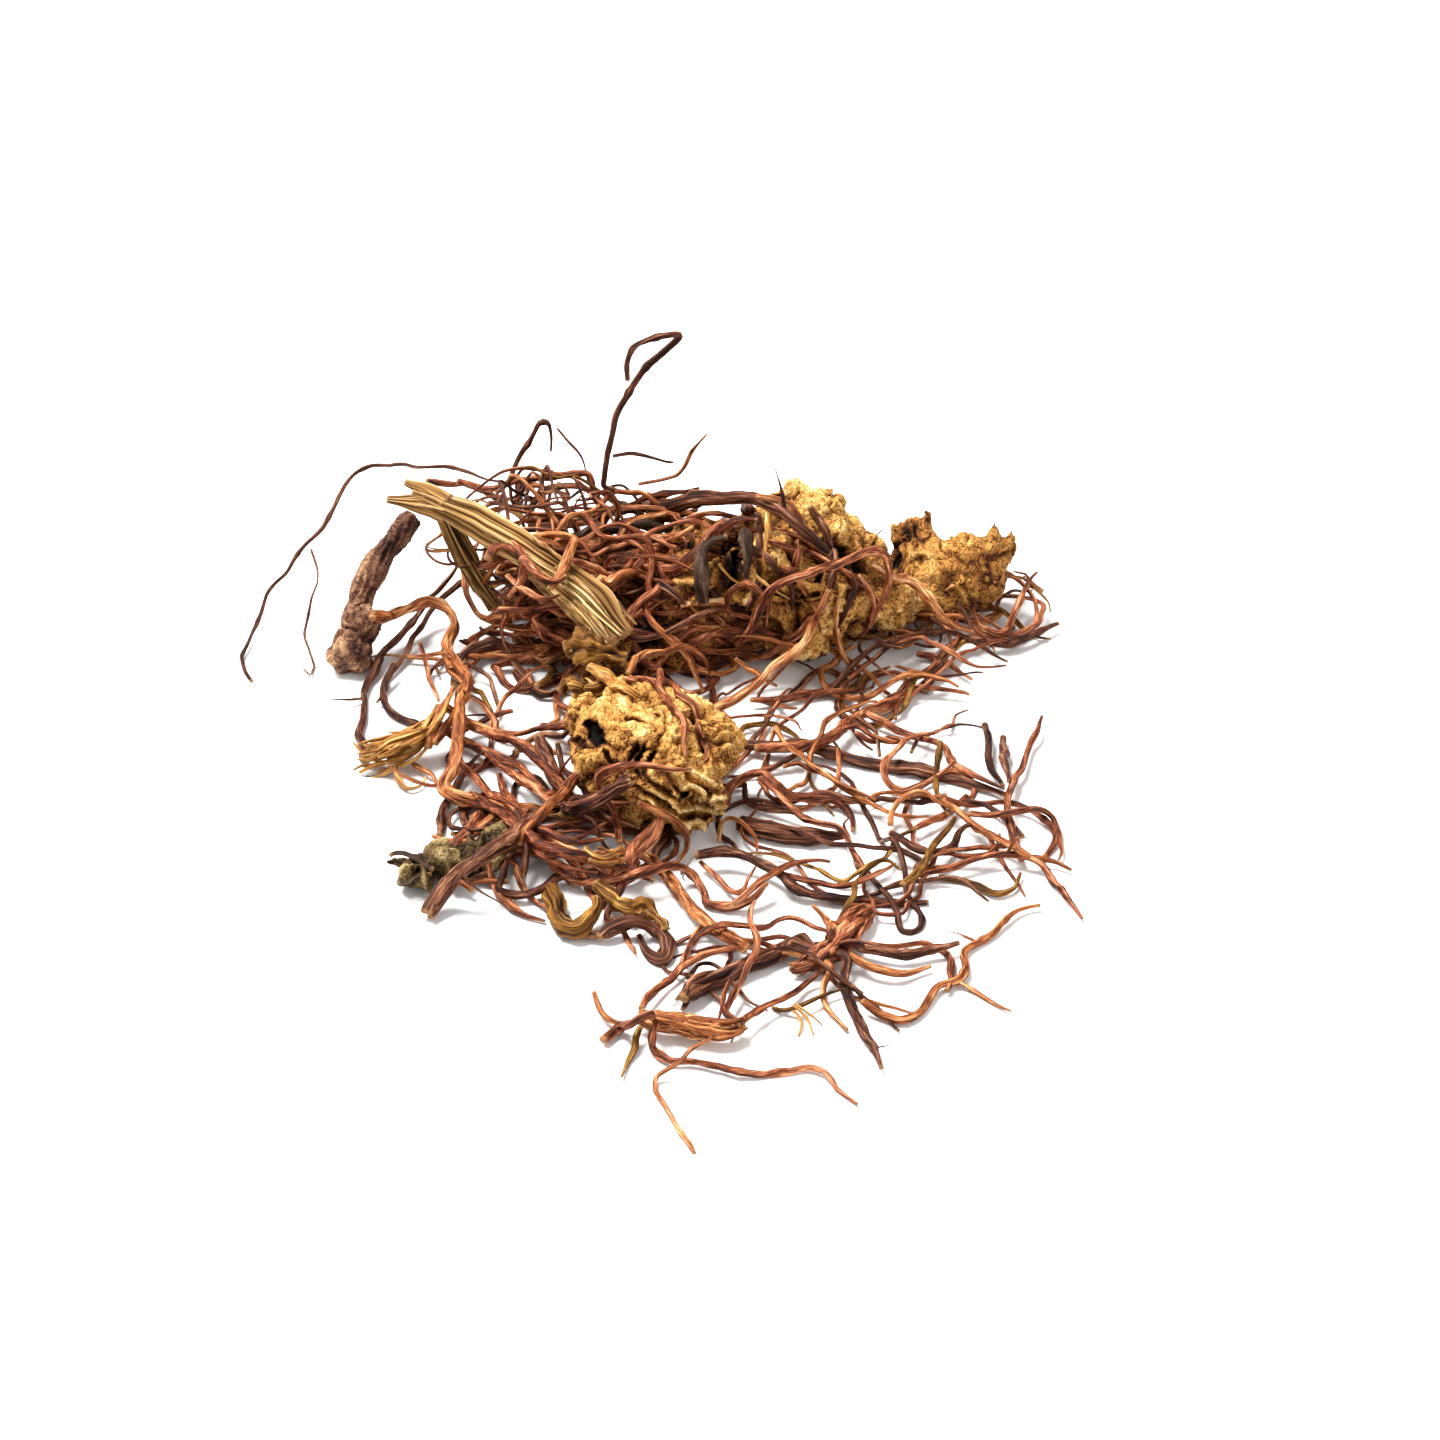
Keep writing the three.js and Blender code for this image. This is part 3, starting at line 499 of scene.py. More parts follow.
def crusted_bark(name, stops, roughness):
    """Dried rhizome bark: corky, flaking and cracked. Painted shade makes its cracks and pits black and its
    hollows brown, a painted highlight makes its crests pale gold, and a dry grit of about half a millimetre
    keeps it from shining."""
    material, tree, output = new_material(name)
    place = put(tree, "ShaderNodeTexCoord", {}).outputs["Object"]
    patch = mottle(tree, place, 2.6, 4.0, 0.6, 0.6)
    grit = mottle(tree, place, 0.55, 3.0, 0.7, 0.8)
    split = mottle(tree, place, 1.3, 2.0, 0.5, 1.5)
    split = arithmetic(tree, "ABSOLUTE", arithmetic(tree, "SUBTRACT", split, 0.5))
    # Painted shade in the narrow splits, which the bump below also sinks
    open_split = put(
        tree, "ShaderNodeMapRange",
        {"Value": split, "From Min": 0.005, "From Max": 0.05, "To Min": -0.3, "To Max": 0.0},
        interpolation_type="SMOOTHSTEP",
    ).outputs["Result"]
    # The mesh's "height" value is painted shade and highlight from the relief; on the rhizome, "pale" also
    # holds painted shade
    light = arithmetic(tree, "MULTIPLY_ADD", patch, 0.55, mesh_value(tree, "height"))
    light = arithmetic(tree, "MULTIPLY_ADD", grit, 0.5, light)
    light = arithmetic(tree, "MULTIPLY_ADD", mesh_value(tree, "pale"), 0.2, light)
    light = arithmetic(tree, "ADD", light, open_split)
    light = arithmetic(tree, "SUBTRACT", light, 0.36)
    ramp = put(tree, "ShaderNodeValToRGB", {"Fac": light}, stops=stops)
    relief = arithmetic(tree, "ADD", grit, open_split)
    bump = put(tree, "ShaderNodeBump", {"Height": relief, "Strength": 0.8, "Distance": 0.35 * MM})
    shaded(tree, output, ramp.outputs["Color"], bump, roughness, 0.2)
    return material


# Strand skins: the name, the colours from groove to crest, which give painted shade in the grooves and a
# painted highlight on the crests, the roughness and the strength of the shine
SKINS = {
    "rootlet_red": ("reddish_rootlet_skin", "#180602", "#582612", "#9C5632", "#E0A478", 0.52, 0.18),
    "rootlet_tan": ("tan_rootlet_skin", "#2A0F04", "#783C1A", "#B26C3A", "#EABA84", 0.52, 0.18),
    "rootlet_dark": ("dark_rootlet_skin", "#100403", "#3C1C10", "#683C28", "#B07E5E", 0.55, 0.15),
    "rootlet_ochre": ("ochre_rootlet_skin", "#201003", "#553410", "#86591F", "#CE9F54", 0.6, 0.15),
    "rootlet_grey": ("grey_rootlet_skin", "#120A07", "#33231A", "#4C3A2E", "#705A4C", 0.7, 0.1),
    "dry_stem": ("dry_stem_straw", "#1C0F05", "#6A4822", "#A47A46", "#EACC94", 0.65, 0.15),
    "bud_fibre": ("bud_fibre", "#301603", "#86500F", "#C48A3C", "#F6DC9A", 0.5, 0.3),
}
# Barks: the name, the colours with their places on the ramp (its two ends first) and the roughness
BARKS = {
    "rhizome_bark": (
        "golden_corky_bark",
        [
            (0.12, "#0A0402"), (1.0, "#F6DA9A"), (0.27, "#2C1406"), (0.42, "#643812"),
            (0.58, "#9E682E"), (0.78, "#D09C52"),
        ],
        0.8,
    ),
    "stout_root_bark": (
        "plum_root_bark",
        [(0.12, "#0A0403"), (0.98, "#C49A70"), (0.28, "#24100A"), (0.48, "#4C2C20"), (0.72, "#7C543E")],
        0.6,
    ),
    "offset_bark": (
        "olive_corky_bark",
        [(0.12, "#080401"), (0.98, "#C8AC7C"), (0.28, "#211408"), (0.48, "#4C381E"), (0.7, "#7E683E")],
        0.8,
    ),
}
FINISHES = {slot: furrowed_skin(*row) for slot, row in SKINS.items()}
FINISHES.update({slot: crusted_bark(*row) for slot, row in BARKS.items()})


def dent(points, normals, across, down, long, wide, slant, depth):
    """How far a hollow at a picture point goes in, for the skin that faces the viewer there: a bell, long in
    the direction of its slant, in picture units, with an edge made ragged by noise."""
    u, v = pictured(points)
    turn = math.radians(slant)
    ahead = (u - across) * math.cos(turn) + (v - down) * math.sin(turn)
    beside = (v - down) * math.cos(turn) - (u - across) * math.sin(turn)
    reach = (ahead / long) ** 2 + (beside / wide) ** 2 + 0.5 * noise(points, 1.3, 21)
    facing = eased(-(normals @ VIEW_FORWARD), -0.1, 0.3)
    return depth * (1 - eased(reach, 0.3, 1.3)) * facing


# Hollows seen in the bark: [picture x, picture y, half length, half width, slant in degrees, depth in mm]
HOLLOWS = [
    [590, 729, 16, 9, 70, 3.0],
    [576, 742, 9, 6, 20, 2.0],
    [630, 750, 11, 2.6, 120, 2.0],
    [640, 753, 13, 3.0, 115, 2.4],
    [650, 758, 10, 2.6, 120, 2.0],
    [634, 718, 14, 3.0, 15, 1.6],
    [657, 715, 5, 3, 60, 1.4],
    [606, 760, 12, 2.4, 75, 1.5],
    [618, 775, 10, 2.4, 30, 1.5],
    [700, 738, 26, 3.4, 78, 2.4],
    [798, 518, 9, 6, 0, 2.6],
    [776, 492, 8, 5, 0, 2.2],
    [835, 545, 17, 5, 10, 2.6],
    [734, 560, 13, 26, 0, 4.5],
    [770, 590, 10, 4, 20, 2.2],
    [812, 596, 13, 4, -20, 2.0],
    [852, 556, 9, 4, 20, 2.0],
    [790, 556, 18, 3, 60, 2.0],
    [822, 572, 16, 3, 100, 2.0],
    [684, 797, 9, 4, -20, 2.6],
    [706, 791, 6, 4, 30, 2.4],
    [667, 788, 8, 3, 40, 1.8],
]
# Horns on the back lobes: [picture x of the tip, radius of the foot in mm, rise in mm]
HORNS = [[925, 6.0, 1.2], [997, 4.0, 1.0], [1013, 2.6, 1.0]]
# The folds of the front lobe's broken end: [picture x, picture y, half width, half height, slant in degrees]
BROKEN_END = [686, 802, 52, 36, 28]
FOLD_SPACING = 15.0
# The olive knob on the front lobe's right: [picture x, picture y, radius]
RIGHT_KNOB = [724, 746, 30]


def folds(points, u, v):
    """Layered folds at the broken end: sharp crests at equal spacings across the slant, made wavy by noise.
    Returns their height from -1 to 1 and how far a point is inside the broken end."""
    middle_u, middle_v, wide, high, slant = BROKEN_END
    turn = math.radians(slant)
    ahead = (u - middle_u) * math.cos(turn) + (v - middle_v) * math.sin(turn)
    beside = (v - middle_v) * math.cos(turn) - (u - middle_u) * math.sin(turn)
    inside = 1 - eased((ahead / wide) ** 2 + (beside / high) ** 2, 0.6, 1.1)
    wave = beside + 15.0 * noise(points, 4.5, 8) + 6.0 * noise(points, 1.8, 9)
    part = np.mod(wave / FOLD_SPACING, 1)
    return 1 - 4 * np.abs(part - 0.5), inside


def horned(points, u, v):
    """How far the horns stand up: most at the picture's highest place at each tip, less further away."""
    rise = np.zeros(len(points))
    for across, reach, high in HORNS:
        near = np.flatnonzero(np.abs(u - across) < 6)
        foot = points[near[np.argmin(v[near])]]
        part = np.clip(1 - np.linalg.norm(points - foot, axis=1) / reach, 0, 1)
        rise = np.maximum(rise, high * part ** 1.5)
    return rise


def make_rhizome():
    """The bark: lumps, sharp crests, upright torn folds, narrow cracks and grain from warped noise, the
    hollows and horns that the picture shows, folds at the broken end, and rings round the olive knob."""
    points, quads, normals = even_skin("rhizome", BARK_VOXEL, 5)
    lobe = eased(-points[:, 1], 24, 31)
    neck = eased(-points[:, 1], 9, 14) * (1 - lobe)
    shadowed = eased(-points[:, 0], 0, 7) * (1 - eased(-points[:, 1], 9, 14))
    warped = points + 1.6 * noises(points, 4.5, 90)
    warped += 0.5 * noises(points, 1.6, 95)
    lumps = rough(warped, 6.0, 3, 2)
    knobs = 0.5 - cobbles(warped, 5.0, 4)
    upright = warped * np.array([1.0, 1.0, 0.5])
    crests = 0.45 - np.abs(noise(upright, 2.6, 5)) * 1.6
    torn = 0.5 - np.abs(noise(upright, 4.4, 11)) * 1.8
    back = eased(points[:, 0], 18, 24)
    fine = 0.4 - np.abs(noise(warped, 1.15, 6)) * 1.5
    cracks = 1 - eased(np.abs(noise(warped, 3.6, 7)), 0.02, 0.13)
    grain = noise(points, 0.55, 10)
    height = (1.2 - 0.5 * lobe) * lumps + (0.5 - 0.2 * lobe) * knobs + (1.0 - 0.4 * lobe) * crests
    height += 1.3 * (1 - lobe) * torn + (0.5 + 0.25 * lobe) * fine - 0.8 * cracks + 0.16 * grain - 1.4 * neck
    sunk = 1.1 * eased(points[:, 2], 15, 20)
    height = height * (1 - 0.45 * back) - 0.45 - sunk
    u, v = pictured(points)
    facing = eased(-(normals @ VIEW_FORWARD), -0.1, 0.3) * lobe
    fold, inside = folds(points, u, v)
    inside = inside * facing
    span = np.hypot(u - RIGHT_KNOB[0], v - RIGHT_KNOB[1]) + 4 * noise(points, 2.4, 12)
    olive = facing * (1 - eased(span, 0.7 * RIGHT_KNOB[2], RIGHT_KNOB[2]))
    rings = np.cos(2 * np.pi * span / 9.0)
    height = height * (1 - 0.6 * inside) + 1.25 * inside * fold + olive * (0.6 + 0.3 * rings)
    hollow = sum(dent(points, normals, *row) for row in HOLLOWS)
    moved = points + normals * height[:, None] + VIEW_FORWARD * hollow[:, None]
    moved += VIEW_UP * horned(points, u, v)[:, None]
    # Painted shade and highlight from the relief, handed on as the "height" value: lighter on crests and fold
    # crests, darker in hollows and cracks
    shade = 0.48 + 0.17 * (height + sunk + 1.2 * neck) - 0.18 * hollow - 0.12 * cracks + 0.12 * inside * fold
    # Paler lobe and patches and a darker olive knob and broken end, plus painted shade on the neck, on the
    # crown's left side and towards the lobe's bottom
    pale = 0.55 + 0.45 * lobe - 0.1 * back + 0.3 * rough(points, 7.0, 9) - 0.35 * inside - 1.2 * olive
    pale = 0.85 * pale - 0.5 * neck - 1.0 * shadowed - 0.5 * lobe * eased(8 - points[:, 2], 0, 6)
    shade = np.clip(shade, -0.3, 1.1)
    return {"points": moved, "faces": [quads], "height": shade, "pale": np.clip(pale, -1.6, 1.3)}


def make_offset():
    """The small side chunk: the same bark with finer knobs."""
    points, quads, normals = even_skin("side_offset", KNOT_VOXEL, 4)
    warped = points + 0.9 * noises(points, 2.2, 80)
    height = 1.3 * (0.4 - np.abs(noise(warped, 2.6, 13)) * 1.6) + 0.8 * rough(points, 3.4, 14, 2)
    height += 0.4 * (0.4 - np.abs(noise(warped, 0.95, 15)) * 1.5)
    moved = points + normals * height[:, None]
    pale = 0.5 * noise(points, 3.0, 16)
    # The "height" value is painted shade and highlight from the relief: lighter on crests, darker in hollows
    return {"points": moved, "faces": [quads], "height": 0.42 + 0.26 * height, "pale": pale}


def side_roots(path, radius, seed):
    """Fine side roots: each springs sideways from a random place on the path, and bends."""
    draw = np.random.default_rng(seed)
    path, stops = smooth_path(path, 1.0)
    along, side, other = carried_frame(path)
    parts = []
    count = int(stops[-1] / SIDE_ROOT_SPACING) if radius > BARE_STRAND else 0
    for number in range(count):
        place = draw.integers(1, len(path) - 1)
        angle = draw.uniform(0, 2 * np.pi)
        out = side[place] * np.cos(angle) + other[place] * np.sin(angle)
        reach = draw.uniform(2.5, 9.0)
        part = np.linspace(0, 1, 6)[:, None]
        bend = draw.normal(0, 0.35, 3)
        heading = out + draw.uniform(-0.7, 0.9) * along[place]
        line = path[place] + reach * (part * heading + part ** 2 * bend)
        line[:, 2] = np.maximum(line[:, 2], 0.3)
        thin = min(0.45 * radius, draw.uniform(0.16, 0.36))
        widths = [1.3 * thin, thin, 0.5 * thin]
        parts.append(strand(line, widths, seed + SEED_STEP * number, **SIDE_ROOT))
    return parts


def plaits(path, widths, thin, count, seed):
    """Thin strands that wind along a limb's skin, each from its own angle, at its own rate and depth."""
    spine, stops = smooth_path(path, 1.2)
    _, side, other = carried_frame(spine)
    draw = np.random.default_rng(seed)
    room = np.interp(stops / stops[-1], np.linspace(0, 1, len(widths)), widths)
    parts = []
    for number in range(count):
        angle = draw.uniform(0, 2 * np.pi) + draw.uniform(-0.14, 0.14) * stops
        ring = room * draw.uniform(0.7, 1.0)
        line = spine + (ring * np.cos(angle))[:, None] * side + (ring * np.sin(angle))[:, None] * other
        line[:, 2] = np.maximum(line[:, 2], 0.5)
        radius = draw.uniform(*thin)
        parts.append(strand(line, radius, seed + SEED_STEP * (2 + number), **PLAIT))
    return parts


def joined_to(path, anchors):
    """The path with each end that stops just short of a knot carried on into the knot's middle."""
    for end in (0, -1):
        gap = np.linalg.norm(anchors - path[end], axis=1)
        nearest = int(np.argmin(gap))
        if 0.8 < gap[nearest] < KNOT_REACH:
            extra = anchors[nearest:nearest + 1]
            path = np.vstack([extra, path]) if end == 0 else np.vstack([path, extra])
    return path


# Rootlets that are several thin strands grown together, and rootlets with darker skin than their kind
PLAITED = ("rootlet_stout_wrinkled", "rootlet_left_kinked", "rootlet_front_stick")
DARKER = ("rootlet_tall_loop", "rootlet_left_arch")


def make_rootlets():
    """Each rootlet's solid is redrawn as a furrowed strand along its own middle, with fine side roots."""
    parts = [part for part in frame["record"]["subparts"] if part["node"].startswith("rootlet_")]
    spines = (FRONT_KNOT_SPINE, HUB_SPINE, BUD_SPINE)
    anchors = np.vstack([smooth_path(seen(spine), 1.0)[0] for spine in spines])
    for seed, part in enumerate(parts):
        path, radius = centreline(part["node"])
        path = joined_to(path, anchors)
        widths = [1.05 * radius, 1.05 * radius, radius, 0.8 * radius]
        knob = 0.45 if part["material_slot"] == "rootlet_ochre" else 0.0
        if radius > STOUT_STRAND and part["material_slot"] != "rootlet_grey":
            main = strand(path, widths, ROOTLET_SEED + SEED_STEP * seed, knob=knob, **STOUT_ROOTLET)
        else:
            main = strand(path, widths, ROOTLET_SEED + SEED_STEP * seed, **ROOTLET)
        branches = side_roots(path, radius, SIDE_ROOT_SEED + 1000 * seed)
        if part["node"] in PLAITED:
            branches += plaits(path, widths, (0.35, 0.5), 4, PLAIT_SEED + 1000 * seed)
        surface = together([main] + branches)
        slot = "rootlet_dark" if part["node"] in DARKER else part["material_slot"]
        add_piece("strand_" + part["node"], surface, FINISHES[slot], [part["node"]])


# The stem's limbs: [picture x, picture y, height in mm]
STEM_ROUTE = [
    [414, 494, 24.8], [450, 508, 23.5], [475, 520, 22], [515, 543, 19.6], [555, 570, 17], [595, 600, 14.5],
    [624, 634, 12],
]
STEM_WIDE_ROUTE = [[520, 560, 18.2], [560, 588, 15.4], [590, 614, 13], [614, 642, 11]]
STEM_PRONG_UPPER = [[446, 503, 24.2], [424, 490, 25.4], [406, 482, 26]]
STEM_PRONG_LOWER = [[446, 510, 23.2], [418, 503, 24], [387, 500, 24.4]]
STEM_LEG_ROUTE = [[440, 510, 22.2], [462, 550, 16.2], [480, 580, 11.6], [497, 607, 8]]


def splinters(route, widths, count, seed):
    """Fibres that lie along a limb's skin: each keeps to its own angle and stretch of the limb."""
    spine, stops = smooth_path(seen(route), 1.2)
    _, side, other = carried_frame(spine)
    draw = np.random.default_rng(seed)
    room = np.interp(stops / stops[-1], np.linspace(0, 1, len(widths)), widths)
    parts = []
    for number in range(count):
        first = draw.integers(0, len(spine) - 6)
        last = min(len(spine), first + draw.integers(6, 14))
        angle = draw.uniform(0, 2 * np.pi) + 0.02 * stops[first:last]
        ring = 0.97 * room[first:last]
        path = spine[first:last] + (ring * np.cos(angle))[:, None] * side[first:last]
        path += (ring * np.sin(angle))[:, None] * other[first:last]
        thin = draw.uniform(0.22, 0.5)
        parts.append(strand(path, thin, seed + SEED_STEP * number, **SPLINTER))
    return parts


# Radii along the stem's two shafts, in mm
STEM_WIDTHS = [1.8, 2.1, 2.2, 2.2, 2.3, 2.2]
STEM_WIDE_WIDTHS = [1.2, 2.0, 2.4, 2.0]


def make_stem():
    """The dry stem: a flattened, deeply grooved shaft that splits at its far end, a wider lower half, a leg,
    and loose splinters along them."""
    limbs = [
        strand(seen(STEM_ROUTE), STEM_WIDTHS, 41, **STEM_SHAFT),
        strand(seen(STEM_WIDE_ROUTE), STEM_WIDE_WIDTHS, 42, **STEM_WIDE),
        strand(seen(STEM_PRONG_UPPER), [1.7, 1.4, 1.0], 43, **STEM_PRONG),
        strand(seen(STEM_PRONG_LOWER), [1.7, 1.4, 0.9], 44, **STEM_PRONG),
        strand(seen(STEM_LEG_ROUTE), [1.7, 1.6, 1.6, 1.5], 45, **STEM_LEG),
    ]
    limbs += splinters(STEM_ROUTE, STEM_WIDTHS, 20, 46)
    limbs += splinters(STEM_WIDE_ROUTE, STEM_WIDE_WIDTHS, 12, 47)
    limbs += splinters(STEM_LEG_ROUTE, [1.6, 1.6, 1.6], 8, 48)
    return together(limbs)


# The stout root's two ends in the picture, for the run of its wrinkles
STOUT_ROOT_ENDS = [[416, 513, 20], [350, 650, 3.3]]


def make_stout_root():
    """The stout root: long wrinkles from noise stretched along the limb, and a scaly, cracked base."""
    points, quads, normals = even_skin("stout_root", KNOT_VOXEL, 3)
    ends = seen(STOUT_ROOT_ENDS)
    run = (ends[1] - ends[0]) / np.linalg.norm(ends[1] - ends[0])
    base = eased((points - ends[0]) @ run, 17, 23)
    drawn_in = points - 0.86 * ((points - ends[0]) @ run)[:, None] * run
    wrinkles = 0.35 - np.abs(noise(drawn_in, 0.8, 52)) * 1.3
    scales = 0.5 - cobbles(points, 2.2, 53)
    swell = noise(points, 4.0, 54)
    grain = noise(points, 0.6, 55)
    height = (0.7 - 0.2 * base) * wrinkles + 1.4 * base * scales + 0.5 * swell + 0.12 * grain + 0.25
    moved = points + normals * height[:, None]
    pale = 0.5 * swell - 0.1 * base - 0.4
    # The "height" value is painted shade and highlight from the relief: lighter on crests, darker in hollows
    return {"points": moved, "faces": [quads], "height": 0.45 + 0.4 * height, "pale": pale}


# The middles of the bud and of the two front knots: [picture x, picture y, height in mm]
BUD_SPINE = [
    [362, 757, 1.6], [384, 753, 2.6], [404, 746, 3.4], [424, 735, 4.2], [440, 714, 5.6], [450, 700, 6.6],
]
FRONT_KNOT_SPINE = [
    [640, 1016, 2.4], [655, 1020, 2.6], [680, 1022, 2.6], [705, 1028, 2.4], [728, 1030, 2.1],
    [742, 1024, 2.2],
]
HUB_SPINE = [
    [868, 908, 1.7], [860, 917, 1.8], [848, 928, 2.1], [836, 944, 2.2], [820, 956, 2.1], [803, 966, 1.7],
    [790, 968, 1.4],
]
BUD_FIBRES = 64


def make_bud():
    """The fibrous bud: fibres that flare at a spine's left end, bow outwards and gather at its right."""
    spine, _ = smooth_path(seen(BUD_SPINE), 1.6)
    draw = np.random.default_rng(61)
    parts = []
    for number in range(BUD_FIBRES):
        angle = draw.uniform(0, 2 * np.pi)
        first = draw.integers(0, max(1, len(spine) // 3))
        last = draw.integers(2 * len(spine) // 3, len(spine))
        bow = draw.uniform(0.3, 2.6)
        line = spine[first:last]
        part = np.linspace(0, 1, len(line))
        flare = 1 + 0.5 * eased(0.3 - part, 0, 0.3)
        lift = bow * (0.8 * (1 - part) ** 0.7 + 0.5 * np.sin(np.pi * part)) * flare
        level = np.cos(angle) * lift
        offset = np.stack([0.3 * np.cos(angle) * lift, level, 0.8 * np.sin(angle) * lift], axis=1)
        path = line + offset
        path[:, 2] = np.maximum(path[:, 2], 0.5)
        radius = draw.uniform(0.16, 0.42)
        parts.append(strand(path, radius, FIBRE_SEED + SEED_STEP * number, **BUD_FIBRE))
    return together(parts)


def make_knot(points_in_picture, widths, seed, count):
    """A root knot: one spindle and a few strands plaited along it."""
    spine = seen(points_in_picture)
    parts = [strand(spine, widths, seed, **KNOT)]
    return together(parts + plaits(spine, widths, (0.25, 0.5), count, seed))


